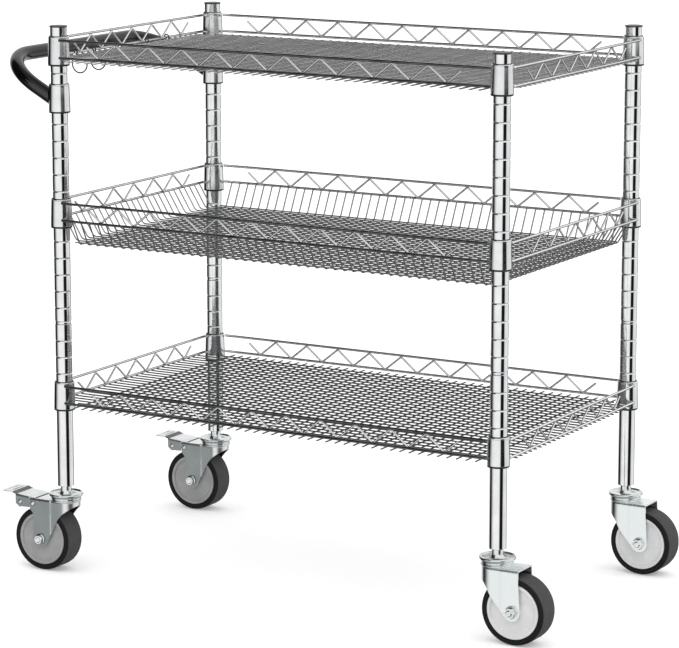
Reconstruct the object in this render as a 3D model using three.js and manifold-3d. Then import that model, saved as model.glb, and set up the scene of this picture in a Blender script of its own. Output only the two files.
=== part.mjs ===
// Three-tier wire shelf cart: four tubular posts on swivel casters, two flat
// wire shelves, a dropped wire basket between them, a tubular push handle at
// the left end and hooks hanging from the top shelf's left rail.
// Millimetres, +Z up, floor at z = 0. Left is -X, the handle's end; front is -Y.
import * as THREE from 'three';
import { mergeVertices } from 'three/addons/utils/BufferGeometryUtils.js';
import Module from 'manifold-3d';

const wasm = await Module();
wasm.setup();

// ---------------------------------------------------------- shared dimensions
const FRAME_SHIFT_X = 20.85; // centres the whole cart's bounding box on x = 0
const COLUMN_SEG = 12;       // sides of every turned part on a post axis
const PIN_SEG = 12;          // sides of pins, bolts and their bores

const POST_X = 370.5;        // post centres, half spacing along the shelf
const POST_Y = 215.5;        // post centres, half spacing across the shelf
const POST_R = 12.7;
const POST_BORE_R = 11.5;
const POST_Z0 = 134;
const POST_Z1 = 836.1;

const COLLAR_H = 41.4;       // tapered socket at each shelf corner
const COLLAR_R_TOP = 15.5;
const COLLAR_R_BOTTOM = 16.7;
const TIERS = { top: 822.0, middle: 577.6, bottom: 296.6 }; // collar top edges
const BORE_OVERRUN = 5;      // bore cutters run past the collar's faces

const RAIL_R = 2;
const RAIL_OFFSET = 14.7;    // rail centre line outside the post centre line
const RAIL_X = POST_X + RAIL_OFFSET;
const RAIL_Y = POST_Y + RAIL_OFFSET;
const RAIL_UPPER = 4.9;      // rail centres below the collar's top edge
const RAIL_LOWER = 30.9;

const SLEEVE_R_IN = 13.0;

const CORNERS = [
  { corner: 'front_left', x: -POST_X, y: -POST_Y },
  { corner: 'front_right', x: POST_X, y: -POST_Y },
  { corner: 'rear_left', x: -POST_X, y: POST_Y },
  { corner: 'rear_right', x: POST_X, y: POST_Y },
];

// ------------------------------------------------------------------ finishes
const FINISHES = {
  chrome: { color: 0xd9dcde, roughness: 0.12, metalness: 1 },
  chromeMat: { color: 0xa9acae, roughness: 0.3, metalness: 1 },
  sleeve: { color: 0x151515, roughness: 0.5, metalness: 0 },
  cap: { color: 0x2a2b2c, roughness: 0.45, metalness: 0 },
  handle: { color: 0x161718, roughness: 0.15, metalness: 0.6 },
  zinc: { color: 0xb9c3c3, roughness: 0.35, metalness: 1 },
  hub: { color: 0xcfcfcf, roughness: 0.5, metalness: 0 },
  tyre: { color: 0x2e2e2e, roughness: 0.8, metalness: 0 },
};

// ------------------------------------------------------------------- helpers
// Position-only copy with shared vertices, no collapsed triangles and its
// faces turned outwards.
function weld(geometry) {
  const copy = geometry.clone();
  for (const name of Object.keys(copy.attributes)) {
    if (name !== 'position') copy.deleteAttribute(name);
  }
  const merged = mergeVertices(copy, 1e-4);
  const index = merged.index.array;
  const corner = (i) => new THREE.Vector3().fromBufferAttribute(merged.attributes.position, i);
  const triangles = [];
  let volume = 0;
  for (let i = 0; i < index.length; i += 3) {
    const triangle = Array.from(index.slice(i, i + 3));
    if (new Set(triangle).size < 3) continue;
    triangles.push(triangle);
    const [first, second, third] = triangle.map(corner);
    volume += first.dot(second.cross(third));
  }
  const outward = ([first, second, third]) => (
    volume < 0 ? [first, third, second] : [first, second, third]
  );
  merged.setIndex(triangles.flatMap(outward));
  return merged;
}

function toSolid(geometry) {
  const welded = weld(geometry);
  return new wasm.Manifold(new wasm.Mesh({
    numProp: 3,
    vertProperties: new Float32Array(welded.attributes.position.array),
    triVerts: new Uint32Array(welded.index.array),
  }));
}

function fromSolid(solid) {
  const mesh = solid.getMesh();
  const geometry = new THREE.BufferGeometry();
  geometry.setAttribute('position', new THREE.Float32BufferAttribute(mesh.vertProperties, 3));
  geometry.setIndex(Array.from(mesh.triVerts));
  return geometry;
}

const join = (...parts) => fromSolid(parts.map(toSolid).reduce((sum, part) => sum.add(part)));
const cut = (base, ...tools) => fromSolid(
  tools.map(toSolid).reduce((rest, tool) => rest.subtract(tool), toSolid(base)),
);
const common = (one, other) => fromSolid(toSolid(one).intersect(toSolid(other)));

function add(parent, name, geometry, finish, position = [0, 0, 0]) {
  const welded = weld(geometry);
  welded.computeVertexNormals();
  const mesh = new THREE.Mesh(welded, new THREE.MeshStandardMaterial(FINISHES[finish]));
  mesh.name = name;
  mesh.position.set(...position);
  parent.add(mesh);
}

// Lathe from [radius, height] pairs; a profile off the axis is closed on itself.
function lathe(profile, segments) {
  const points = profile.map((pair) => new THREE.Vector2(...pair));
  if (profile[0][0] > 0) points.push(points[0].clone());
  return weld(new THREE.LatheGeometry(points, segments));
}

// Turned about the Z axis, from [radius, z] pairs.
const turned = (profile) => lathe(profile, COLUMN_SEG).rotateX(Math.PI / 2);

const frustum = (bottomR, z0, topR, z1) => turned([[0, z0], [bottomR, z0], [topR, z1], [0, z1]]);

// Turned about the Y axis, from [radius, y] pairs, with a flat facing down.
const turnedAcross = (profile, segments) => lathe(profile, segments).rotateY(Math.PI / segments);

const pinAcross = (radius, y0, y1) => (
  turnedAcross([[0, y0], [radius, y0], [radius, y1], [0, y1]], PIN_SEG)
);

// Completes a [radius, y] profile given for its -Y half.
const mirrored = (half) => [...half, ...half.map(([radius, y]) => [radius, -y]).reverse()];

// Each argument is an axis' [low, high].
function box([x0, x1], [y0, y1], [z0, z1]) {
  return new THREE.BoxGeometry(x1 - x0, y1 - y0, z1 - z0)
    .translate((x0 + x1) / 2, (y0 + y1) / 2, (z0 + z1) / 2);
}

function extruded(outline, depth) {
  const shape = new THREE.Shape(outline.map((pair) => new THREE.Vector2(...pair)));
  return weld(new THREE.ExtrudeGeometry(shape, { depth, bevelEnabled: false }));
}

// Plate with an outline of [x, z] pairs, from y0 to y1.
const plateXZ = (outline, y0, y1) => (
  extruded(outline, y1 - y0).rotateX(Math.PI / 2).translate(0, y1, 0)
);

// Plate with an outline of [x, y] pairs, from z0 to z1.
const plateXY = (outline, z0, z1) => extruded(outline, z1 - z0).translate(0, 0, z0);

class Polyline extends THREE.Curve {
  constructor(points) {
    super();
    this.points = points;
    this.lengths = [0]; // running length at each point
    for (let i = 1; i < points.length; i++) {
      this.lengths.push(this.lengths[i - 1] + points[i].distanceTo(points[i - 1]));
    }
  }

  getPoint(t, target = new THREE.Vector3()) {
    const { points, lengths } = this;
    const along = Math.min(Math.max(t, 0), 1) * lengths[lengths.length - 1];
    let i = 1;
    while (i < points.length - 1 && lengths[i] < along) i++;
    const share = (along - lengths[i - 1]) / (lengths[i] - lengths[i - 1]);
    return target.copy(points[i - 1]).lerp(points[i], share);
  }
}

// Round wire, or tube if it has a bore, swept along a list of points.
function swept(points, { radius, boreRadius = 0, sides, steps }) {
  const ring = (ringRadius, turn) => Array.from({ length: sides }, (_, i) => {
    const angle = (turn * 2 * Math.PI * i) / sides;
    return new THREE.Vector2(ringRadius * Math.cos(angle), ringRadius * Math.sin(angle));
  });
  const section = new THREE.Shape(ring(radius, 1));
  if (boreRadius > 0) section.holes.push(new THREE.Path(ring(boreRadius, -1)));
  return new THREE.ExtrudeGeometry(section, {
    steps, bevelEnabled: false, extrudePath: new Polyline(points),
  });
}

const root = new THREE.Group();
root.position.x = FRAME_SHIFT_X;

// -------------------------------------------------------------- posts & caps
const CAP_R = 13.65;
const CAP_Z1 = 838;
const CAP_SEAT_Z = POST_Z1 + 0.3;
const CAP_PLUG_R = POST_BORE_R - 0.5;
const CAP_PLUG_Z0 = POST_Z1 - 12;

const post = turned([
  [POST_BORE_R, POST_Z0], [POST_R, POST_Z0], [POST_R, POST_Z1], [POST_BORE_R, POST_Z1],
]);
const cap = turned([
  [0, CAP_PLUG_Z0], [CAP_PLUG_R, CAP_PLUG_Z0], [CAP_PLUG_R, CAP_SEAT_Z],
  [CAP_R, CAP_SEAT_Z], [CAP_R, CAP_Z1], [0, CAP_Z1],
]);
for (const { corner, x, y } of CORNERS) {
  add(root, `post_${corner}`, post, 'chrome', [x, y, 0]);
  add(root, `cap_${corner}`, cap, 'cap', [x, y, 0]);
}

// -------------------------------------------------------------- shelf frames
const COLLAR_BORE_TOP = 14.4;
const COLLAR_BORE_BOTTOM = 15.4;
const TRUSS_H = RAIL_LOWER - RAIL_UPPER; // between rail centres
const TRUSS_W = 3.0;                     // zigzag wire
const TRUSS_LONG = { pitch: 58.1, valleys: 11 };
const TRUSS_SHORT = { pitch: 56.4, valleys: 6 };
const TRUSS_TAIL = 0.72;                 // free end of the zigzag, share of a half wave
const TRUSS_END_WALL = 1.2;              // solid left at each end of a panel
const TRUSS_APEX_EXTRA = 0.05;

// Two rails with a zigzag wire between them, in the XZ plane, centred on
// x = 0, with the upper rail's centre at z = 0.
function trussPanel(length, { pitch, valleys }) {
  const halfLength = length / 2;
  const halfWave = pitch / 2;
  // half the wire's width measured level, and its run across a rail's radius
  const wireHalf = (TRUSS_W / 2) * Math.hypot(halfWave, TRUSS_H) / TRUSS_H;
  const railRun = RAIL_R * halfWave / TRUSS_H;
  const holeHalf = halfWave - railRun - wireHalf;
  const apex = TRUSS_H * wireHalf / halfWave + TRUSS_APEX_EXTRA;
  const zLow = -TRUSS_H + RAIL_R;
  const zHigh = -RAIL_R;
  const lastValley = pitch * (valleys - 1) / 2;
  const holes = [];
  for (let i = 0; i < valleys - 1; i++) { // triangles standing on the lower rail
    const peak = -lastValley + i * pitch + halfWave;
    holes.push([[peak - holeHalf, zLow], [peak + holeHalf, zLow], [peak, -apex]]);
  }
  for (let i = 1; i < valleys - 1; i++) { // triangles hanging from the upper rail
    const valley = -lastValley + i * pitch;
    holes.push([[valley - holeHalf, zHigh], [valley, apex - TRUSS_H], [valley + holeHalf, zHigh]]);
  }
  // the two end openings, round the wire's free tails
  const end = halfLength - TRUSS_END_WALL;
  const tailX = lastValley + TRUSS_TAIL * halfWave;
  const tailZ = (TRUSS_TAIL - 1) * TRUSS_H;
  const rightEnd = [
    [lastValley - holeHalf, zHigh], [lastValley, apex - TRUSS_H],
    [tailX - wireHalf, tailZ], [tailX + wireHalf, tailZ],
    [lastValley + railRun + wireHalf, zLow], [end, zLow], [end, zHigh],
  ];
  holes.push(rightEnd, rightEnd.map(([x, z]) => [-x, z]).reverse());
  const slab = box([-halfLength, halfLength], [-RAIL_R, RAIL_R], [-TRUSS_H - RAIL_R, RAIL_R]);
  return cut(slab, ...holes.map((hole) => plateXZ(hole, -2 * RAIL_R, 2 * RAIL_R)));
}

const longPanel = trussPanel(2 * POST_X, TRUSS_LONG);
const shortPanel = trussPanel(2 * POST_Y, TRUSS_SHORT).rotateZ(Math.PI / 2);

function shelfFrame(zTop) {
  const zBottom = zTop - COLLAR_H;
  const collar = frustum(COLLAR_R_BOTTOM, zBottom, COLLAR_R_TOP, zTop);
  const widening = BORE_OVERRUN * (COLLAR_BORE_BOTTOM - COLLAR_BORE_TOP) / COLLAR_H;
  const bore = frustum(
    COLLAR_BORE_BOTTOM + widening, zBottom - BORE_OVERRUN,
    COLLAR_BORE_TOP - widening, zTop + BORE_OVERRUN,
  );
  const atCorners = (part) => CORNERS.map(({ x, y }) => part.clone().translate(x, y, 0));
  const zRail = zTop - RAIL_UPPER;
  const frame = join(
    longPanel.clone().translate(0, -RAIL_Y, zRail),
    longPanel.clone().translate(0, RAIL_Y, zRail),
    shortPanel.clone().translate(-RAIL_X, 0, zRail),
    shortPanel.clone().translate(RAIL_X, 0, zRail),
    ...atCorners(collar),
  );
  return cut(frame, ...atCorners(bore));
}

for (const [tier, zTop] of Object.entries(TIERS)) {
  add(root, `shelf_frame_${tier}`, shelfFrame(zTop), 'chrome');
}

// ------------------------------------------------------------------ mat wires
// Rows run along X and stop under the end rails; the outermost rows stop short
// of the corner collars. Two cross wires tie them.
const MAT_R = 1.3;             // half the square wire's size
const MAT_PITCH = 30.48;
const MAT_ROWS = 7;            // rows each side of the middle
const MAT_START = 0.25;        // first row from the middle, in pitches
const MAT_CROSS_X = (7 + MAT_START) * MAT_PITCH;
const MAT_DROP = 3.6;          // mat centre plane below the lower rail's centre
const CROSS_DROP = 2.25;       // cross wires lie under the rows and bite into them a little
const MAT_HALF_X = 388.5;
const MAT_HALF_Y = 233.0;
const MAT_SEAT_X = 382;        // past this the rows are flatter, where the end rails sit on them
const MAT_SEAT_DROP = 0.6;
const OUTER_ROW_HALF_X = POST_X - COLLAR_R_BOTTOM - 1;
const COLLAR_CLEARANCE = 0.3;
const BASKET_DEPTH = 36;       // basket floor below the lower rail's centre
const BASKET_RIM = { run: 3, drop: 0.6 }; // near-level ends of the basket's wires
const BASKET_ROW_RUN = 25;     // run of the sloping sides
const BASKET_CROSS_RUN = 22;
const BASKET_OUTER_ROW_HALF_X = MAT_HALF_X - 30;

const rowY = [];
for (let k = 0; k < MAT_ROWS; k++) {
  for (const side of [-1, 1]) rowY.push(side * (k + MAT_START) * MAT_PITCH);
}
const around = (centre) => [centre - MAT_R, centre + MAT_R];
const clearsCollars = (y) => (
  Math.abs(y) + MAT_R < POST_Y - COLLAR_R_BOTTOM - COLLAR_CLEARANCE
);

// All rows, `fullRow` where the collars allow it and a short straight one elsewhere,
// and the cross wires.
function mat(fullRow, outerHalfX, zOuter, cross) {
  const rows = rowY.map((y) => (clearsCollars(y)
    ? fullRow.clone().translate(0, y, 0)
    : box([-outerHalfX, outerHalfX], around(y), around(zOuter))));
  const ties = [-MAT_CROSS_X, MAT_CROSS_X].map((x) => cross.clone().translate(x, 0, 0));
  return join(...rows, ...ties);
}

function flatMat(zRail) {
  const z = zRail - MAT_DROP;
  const [zLow, zHigh] = around(z);
  const zSeat = zHigh - MAT_SEAT_DROP;
  const row = plateXZ([
    [-MAT_HALF_X, zLow], [MAT_HALF_X, zLow], [MAT_HALF_X, zSeat], [MAT_SEAT_X, zSeat],
    [MAT_SEAT_X, zHigh], [-MAT_SEAT_X, zHigh], [-MAT_SEAT_X, zSeat], [-MAT_HALF_X, zSeat],
  ], -MAT_R, MAT_R);
  const cross = box(around(0), [-MAT_HALF_Y, MAT_HALF_Y], around(z - CROSS_DROP));
  return mat(row, OUTER_ROW_HALF_X, z, cross);
}

// Wire along X that slopes down from its two rims to a level floor.
function bentWire(half, zRim, zFloor, slopeRun) {
  const rimEnd = -half + BASKET_RIM.run;
  const left = [[-half, zRim], [rimEnd, zRim - BASKET_RIM.drop], [rimEnd + slopeRun, zFloor]];
  const line = [...left, ...left.map(([x, z]) => [-x, z]).reverse()]
    .map((pair) => new THREE.Vector2(...pair));
  const normals = line.slice(1).map((point, i) => {
    const along = point.clone().sub(line[i]).normalize();
    return new THREE.Vector2(-along.y, along.x);
  });
  // mitred step from each point of the centre line to the wire's upper side
  const miters = line.map((_, i) => {
    const sum = normals[Math.max(i - 1, 0)].clone().add(normals[Math.min(i, normals.length - 1)]);
    return sum.multiplyScalar(2 * MAT_R / sum.lengthSq());
  });
  const lower = line.map((point, i) => point.clone().sub(miters[i]).toArray());
  const upper = line.map((point, i) => point.clone().add(miters[i]).toArray());
  return plateXZ([...lower, ...upper.reverse()], -MAT_R, MAT_R);
}

function basketMat(zRail) {
  const zRim = zRail - MAT_DROP;
  const zFloor = zRail - BASKET_DEPTH;
  const row = bentWire(MAT_HALF_X, zRim, zFloor, BASKET_ROW_RUN);
  const cross = bentWire(MAT_HALF_Y, zRim - CROSS_DROP, zFloor - CROSS_DROP, BASKET_CROSS_RUN)
    .rotateZ(Math.PI / 2);
  return mat(row, BASKET_OUTER_ROW_HALF_X, zFloor, cross);
}

add(root, 'shelf_mat_top', flatMat(TIERS.top - RAIL_LOWER), 'chromeMat');
add(root, 'basket_mat_middle', basketMat(TIERS.middle - RAIL_LOWER), 'chromeMat');
add(root, 'shelf_mat_bottom', flatMat(TIERS.bottom - RAIL_LOWER), 'chromeMat');

// ------------------------------------------------------------------- sleeves
// Tapered sleeves between post and collar, with a lip below the collar.
const SLEEVE_R_TOP = 14.1;
const SLEEVE_R_BOTTOM = 15.1;
const SLEEVE_LIP_R = 16.2;
const SLEEVE_LIP_H = 2.2;
const SLEEVE_LIP_GAP = 0.3;    // lip below the collar
const SLEEVE_STAND = 0.8;      // sleeve's top above the collar

for (const [tier, zTop] of Object.entries(TIERS)) {
  const zLip = zTop - COLLAR_H - SLEEVE_LIP_GAP;
  const sleeve = turned([
    [SLEEVE_R_IN, zLip - SLEEVE_LIP_H], [SLEEVE_LIP_R, zLip - SLEEVE_LIP_H],
    [SLEEVE_R_BOTTOM, zLip],
    [SLEEVE_R_TOP, zTop + SLEEVE_STAND], [SLEEVE_R_IN, zTop + SLEEVE_STAND],
  ]);
  for (const { corner, x, y } of CORNERS) {
    add(root, `sleeve_${tier}_${corner}`, sleeve, 'sleeve', [x, y, 0]);
  }
}

// ---------------------------------------------------------- handle & brackets
// The handle is a U of tube lying in a plane that rises away from the posts.
const BRACKET_Z = 730.5;       // centre height
const BRACKET_H = 41;
const HANDLE_TUBE = { radius: 11, boreRadius: 9.5, sides: 8, steps: 20 };
const HANDLE_RISE = THREE.MathUtils.degToRad(28);
const HANDLE_ROOT = 15.5;      // arm origin outside the post centre
const HANDLE_START = -9;       // tube's start along the arm, before its end is coped
const HANDLE_REACH = 112;      // arm origin to grip centre line, along the arms
const HANDLE_BEND_R = 82;
const BEND_STEPS = 6;
const COPE_R = 17.1;           // radius of the coped ends, round the post's axis
const COPE_HALF_H = 60;
const SPIGOT = { radius: 8.2, length: 24, centre: 8 }; // inside the tube, along the arm

function handleTube() {
  const at = (along, y) => new THREE.Vector3(
    -POST_X - HANDLE_ROOT - along * Math.cos(HANDLE_RISE),
    y,
    BRACKET_Z + along * Math.sin(HANDLE_RISE),
  );
  const front = [at(HANDLE_START, -POST_Y)];
  for (let i = 0; i <= BEND_STEPS; i++) {
    const angle = (i / BEND_STEPS) * Math.PI / 2;
    front.push(at(
      HANDLE_REACH - HANDLE_BEND_R * (1 - Math.sin(angle)),
      -POST_Y + HANDLE_BEND_R * (1 - Math.cos(angle)),
    ));
  }
  const rear = front.map((point) => point.clone().setY(-point.y)).reverse();
  const cope = frustum(COPE_R, BRACKET_Z - COPE_HALF_H, COPE_R, BRACKET_Z + COPE_HALF_H);
  return cut(
    swept([...front, ...rear], HANDLE_TUBE),
    cope.clone().translate(-POST_X, -POST_Y, 0),
    cope.clone().translate(-POST_X, POST_Y, 0),
  );
}

function handleBracket(y) {
  const z0 = BRACKET_Z - BRACKET_H / 2;
  const z1 = BRACKET_Z + BRACKET_H / 2;
  const collar = frustum(COLLAR_R_BOTTOM, z0, COLLAR_R_TOP, z1);
  const bore = frustum(SLEEVE_R_IN, z0 - BORE_OVERRUN, SLEEVE_R_IN, z1 + BORE_OVERRUN);
  const { radius, length, centre } = SPIGOT;
  const spigot = new THREE.CylinderGeometry(radius, radius, length, PIN_SEG)
    .translate(0, centre, 0)
    .rotateZ(Math.PI / 2)
    .rotateY(HANDLE_RISE)
    .translate(-HANDLE_ROOT, 0, BRACKET_Z);
  return cut(join(collar, spigot), bore).translate(-POST_X, y, 0);
}

add(root, 'handle_tube', handleTube(), 'handle');
add(root, 'handle_bracket_front', handleBracket(-POST_Y), 'chrome');
add(root, 'handle_bracket_rear', handleBracket(POST_Y), 'chrome');

// --------------------------------------------------------------------- hooks
// Each hook's eye rides round the top shelf's lower left rail and its round
// bowl hangs below the rail, on the shelf's side of it.
const HOOK_Y = [-152.5, -103, -41.2, 43, 102.6];
const HOOK_WIRE = { radius: 1.1, sides: 5, steps: 20 };
const EYE_R = 4.5;
const BOWL_R = 13.4;
const BOWL_DROP = 17;          // bowl centre below the rail's centre
// angles in degrees, from +X towards +Z
const EYE_ARC = { x: 0, z: 0, radius: EYE_R, start: -35, step: 215 / 9, steps: 9 };
const BOWL_ARC = { x: BOWL_R - EYE_R, z: -BOWL_DROP, radius: BOWL_R, start: 180, step: 16.5, steps: 10 };

function arcPoints({ x, z, radius, start, step, steps }) {
  return Array.from({ length: steps + 1 }, (_, i) => {
    const angle = THREE.MathUtils.degToRad(start + i * step);
    return new THREE.Vector3(x + radius * Math.cos(angle), 0, z + radius * Math.sin(angle));
  });
}

const hook = swept([...arcPoints(EYE_ARC), ...arcPoints(BOWL_ARC)], HOOK_WIRE);
HOOK_Y.forEach((y, i) => {
  add(root, `hook_${i + 1}`, hook, 'chrome', [-RAIL_X, y, TIERS.top - RAIL_LOWER]);
});

// ------------------------------------------------------------------- casters
// Local frame of a caster: swivel axis on x = y = 0, wheel trailing towards +X.
const WHEEL_R = 49.5;          // axle height, and tyre radius at a flat
const WHEEL_SEG = 16;
const WHEEL_VERTEX_R = WHEEL_R / Math.cos(Math.PI / WHEEL_SEG);
const WHEEL_HALF_W = 19.8;
const TRAIL = 33.7;            // axle behind the swivel axis
const BOLT_R = 5;              // wheel axle, and the stem's pin through the fork
const AXLE_BORE_R = BOLT_R + 0.4;
const FORK_HALF_W = 22.7;
const FORK_WALL = 2;
const FORK_INNER = FORK_HALF_W - FORK_WALL;
const FORK_FACE = FORK_HALF_W + 0.3; // where the axle's head and nut sit
const FORK_FRONT_X = -24;
const FORK_BOSS_R = 13;
const NUT_R = 9.2;
const PEDAL_PIVOT = { x: 47, z: 104 };
const PEDAL_NECK_HALF_W = FORK_INNER - 0.5;
const PEDAL_WALL = 2;

// Side outlines as [x, z]: `rear` below the rear top corner, `front` sweeping
// up from the axle boss to the head.
const PLAIN_FORK = {
  top: 110.5,
  rearTopX: 43.5,
  rear: [],
  front: [[1, 66.5], [-8, 83], [-18, 90.5], [FORK_FRONT_X, 92]],
};
const BRAKE_FORK = {
  top: 112.5,
  rearTopX: 52.5,
  rear: [[52.5, 95], [46.4, 88.7]],
  front: [
    [21.6, 44.4], [6.7, 74.5], [-1, 87], [-10, 95.1], [-18.5, 101.4], [FORK_FRONT_X, 105],
  ],
};

function casterStem() {
  const plugR = POST_BORE_R - 0.4;
  const plugZ0 = POST_Z0 + 0.3;
  return turned([
    [0, 103.2], [8, 103.2], [8, 106.3], [BOLT_R, 106.3], [BOLT_R, 118.2], [26, 118.2],
    [26, 122.6], [21.5, 120.8], [8, 120.8], [8, plugZ0], [plugR, plugZ0], [plugR, 172], [0, 172],
  ]);
}

// Plan of the fork: half round towards -X, straight sides back to `rearX`.
function forkPlan(radius, rearX) {
  const round = Array.from({ length: 13 }, (_, i) => {
    const angle = Math.PI / 2 + (i / 12) * Math.PI;
    return [radius * Math.cos(angle), radius * Math.sin(angle)];
  });
  return [...round, [rearX, -radius], [rearX, radius]];
}

function fork({ top, rearTopX, rear, front }, ...extraTools) {
  const boss = [0, 1, 2, 3].map((i) => {
    const angle = -(i / 4) * Math.PI;
    return [TRAIL + FORK_BOSS_R * Math.cos(angle), WHEEL_R + FORK_BOSS_R * Math.sin(angle)];
  });
  const side = [[FORK_FRONT_X, top], [rearTopX, top], ...rear, ...boss, ...front];
  const plan = plateXY(forkPlan(FORK_HALF_W, 60), 30, top);
  const hollow = plateXY(forkPlan(FORK_INNER, 70), 20, top - FORK_WALL);
  const hood = cut(common(plateXZ(side, -30, 30), plan), hollow);
  const race = turned([[0, top - 1], [23.4, top - 1], [24, top + 1], [23.4, 117.6], [0, 117.6]]);
  const pinBore = frustum(BOLT_R + 0.5, 100, BOLT_R + 0.5, 120);
  const axleBore = pinAcross(AXLE_BORE_R, -40, 40).translate(TRAIL, 0, WHEEL_R);
  return cut(join(hood, race), pinBore, axleBore, ...extraTools);
}

function brakeFork() {
  const neckOpening = box([41, 60], [-FORK_INNER, FORK_INNER], [95, 115]);
  const pivotBore = pinAcross(2.9, -30, 30).translate(PEDAL_PIVOT.x, 0, PEDAL_PIVOT.z);
  return fork(BRAKE_FORK, neckOpening, pivotBore);
}

// Hub, tyre, bolt and nut are built round the axle.
const hub = turnedAcross(mirrored([
  [AXLE_BORE_R, -20.2], [11, -20.2], [12, -17.2], [36, -16.8], [38, -19.2], [40.4, -19.2],
]), WHEEL_SEG);

const tyre = turnedAcross(mirrored([
  [40.8, -19.4], [46.8, -WHEEL_HALF_W], [WHEEL_VERTEX_R, -17.6],
]), WHEEL_SEG);

const axleBolt = turnedAcross([
  [0, -31.5], [BOLT_R, -31.5], [BOLT_R, FORK_FACE], [8.5, FORK_FACE],
  [7, FORK_HALF_W + 2.5], [7, 30], [0, 30],
], PIN_SEG);

function axleNut() {
  const hexagon = Array.from({ length: 6 }, (_, i) => {
    const angle = i * Math.PI / 3;
    return [NUT_R * Math.cos(angle), NUT_R * Math.sin(angle)];
  });
  const nut = plateXZ(hexagon, -(FORK_HALF_W + 7), -FORK_FACE);
  return cut(nut, pinAcross(AXLE_BORE_R, -40, -10));
}

// Brake pedal: a channel pinned between the fork's ears, with a tread at its
// rear end and a shoe above the tyre.
function brakePedal() {
  const plate = (halfWidth, outline) => plateXZ(outline, -halfWidth, halfWidth);
  const neck = plate(PEDAL_NECK_HALF_W, [[44, 100.5], [58, 100.5], [58, 114.2], [44, 113]]);
  const channel = plate(FORK_HALF_W, [
    [54.4, 97], [69, 96.5], [71.5, 95.5], [79, 101], [79, 116], [54.4, 113.9],
  ]);
  const riser = plate(FORK_HALF_W, [
    [74, 113.4], [79, 113.9], [85, 116.3], [85, 118.5], [78.5, 116.2], [74, 115.5],
  ]);
  const hollow = plate(PEDAL_NECK_HALF_W - PEDAL_WALL, [
    [40, 90], [80, 90], [80, 114.1], [40, 110.7],
  ]);
  // the channel's lower edges pass beside the tyre
  const tyreRoomHalfW = WHEEL_HALF_W + 0.6;
  const tyreRoom = box([53.5, 80], [-tyreRoomHalfW, tyreRoomHalfW], [90, 103]);
  const tread = box([84, 105], [-FORK_HALF_W, FORK_HALF_W], [116.3, 118.5]);
  const shoe = box([50, 58], [-14, 14], [98.5, 113]);
  const pinProfile = mirrored([[0, -24.7], [4, -24.7], [4, -23.1], [2.5, -23.1]]);
  const pin = turnedAcross(pinProfile, PIN_SEG).translate(PEDAL_PIVOT.x, 0, PEDAL_PIVOT.z);
  return join(cut(join(neck, channel, riser), hollow, tyreRoom), tread, shoe, pin);
}

const stem = casterStem();
const forks = { plain: fork(PLAIN_FORK), brake: brakeFork() };
const nut = axleNut();
const pedal = brakePedal();
const AXLE_AT = [TRAIL, 0, WHEEL_R];

// The left casters are turned to trail towards -X and carry the brakes.
for (const { corner, x, y } of CORNERS) {
  const isLeft = x < 0;
  const caster = new THREE.Group();
  caster.position.set(x, y, 0);
  caster.rotation.z = isLeft ? Math.PI : 0;
  root.add(caster);
  add(caster, `caster_stem_${corner}`, stem, 'zinc');
  add(caster, `caster_fork_${corner}`, isLeft ? forks.brake : forks.plain, 'zinc');
  add(caster, `wheel_hub_${corner}`, hub, 'hub', AXLE_AT);
  add(caster, `tyre_${corner}`, tyre, 'tyre', AXLE_AT);
  add(caster, `axle_bolt_${corner}`, axleBolt, 'zinc', AXLE_AT);
  add(caster, `axle_nut_${corner}`, nut, 'zinc', AXLE_AT);
  if (isLeft) add(caster, `brake_pedal_${corner}`, pedal, 'zinc');
}

export default root;
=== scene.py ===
"""Wire shelf cart: four grooved posts, three wire tiers, a push handle, hooks and four casters.

Parts are drawn in millimetres and become metres when their meshes are made. X runs along the
long side with the handle at -X, the front faces -Y, Z is up and the wheels stand near Z = 0.
"""
from contextlib import contextmanager
from math import acos, cos, pi, radians, sin, tan
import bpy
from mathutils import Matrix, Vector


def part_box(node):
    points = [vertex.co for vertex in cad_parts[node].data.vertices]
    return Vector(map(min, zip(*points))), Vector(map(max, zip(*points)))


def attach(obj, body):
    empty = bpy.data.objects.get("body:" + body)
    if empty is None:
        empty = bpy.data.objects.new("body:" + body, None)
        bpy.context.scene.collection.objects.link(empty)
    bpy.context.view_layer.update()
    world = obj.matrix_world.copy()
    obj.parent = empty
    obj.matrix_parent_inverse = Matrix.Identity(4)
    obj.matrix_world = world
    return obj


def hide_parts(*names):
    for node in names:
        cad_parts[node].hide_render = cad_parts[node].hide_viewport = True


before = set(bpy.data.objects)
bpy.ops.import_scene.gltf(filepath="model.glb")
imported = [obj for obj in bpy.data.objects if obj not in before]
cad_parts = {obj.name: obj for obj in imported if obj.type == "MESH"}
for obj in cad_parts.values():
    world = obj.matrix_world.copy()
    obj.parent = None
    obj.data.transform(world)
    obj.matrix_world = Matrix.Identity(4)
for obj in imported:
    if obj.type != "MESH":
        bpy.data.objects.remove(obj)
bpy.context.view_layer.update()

from types import SimpleNamespace

import bmesh
import bpy
import numpy as np
from mathutils import Matrix, Vector

SCENE = bpy.context.scene
MM = 0.001

# ------------------------------------------------------------------ places taken from the frame
CORNERS = {  # signs of X and Y
    "front_left": (-1, -1),
    "front_right": (1, -1),
    "rear_left": (-1, 1),
    "rear_right": (1, 1),
}
TIERS = ("top", "middle", "bottom")


def node_box(name):
    low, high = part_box(name)
    return np.array(low) * 1000.0, np.array(high) * 1000.0


def node_middle(name):
    low, high = node_box(name)
    return (low + high) / 2


POST = {corner: tuple(node_middle("post_" + corner)[:2]) for corner in CORNERS}
CENTRE_X = (POST["front_left"][0] + POST["front_right"][0]) / 2
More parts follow.
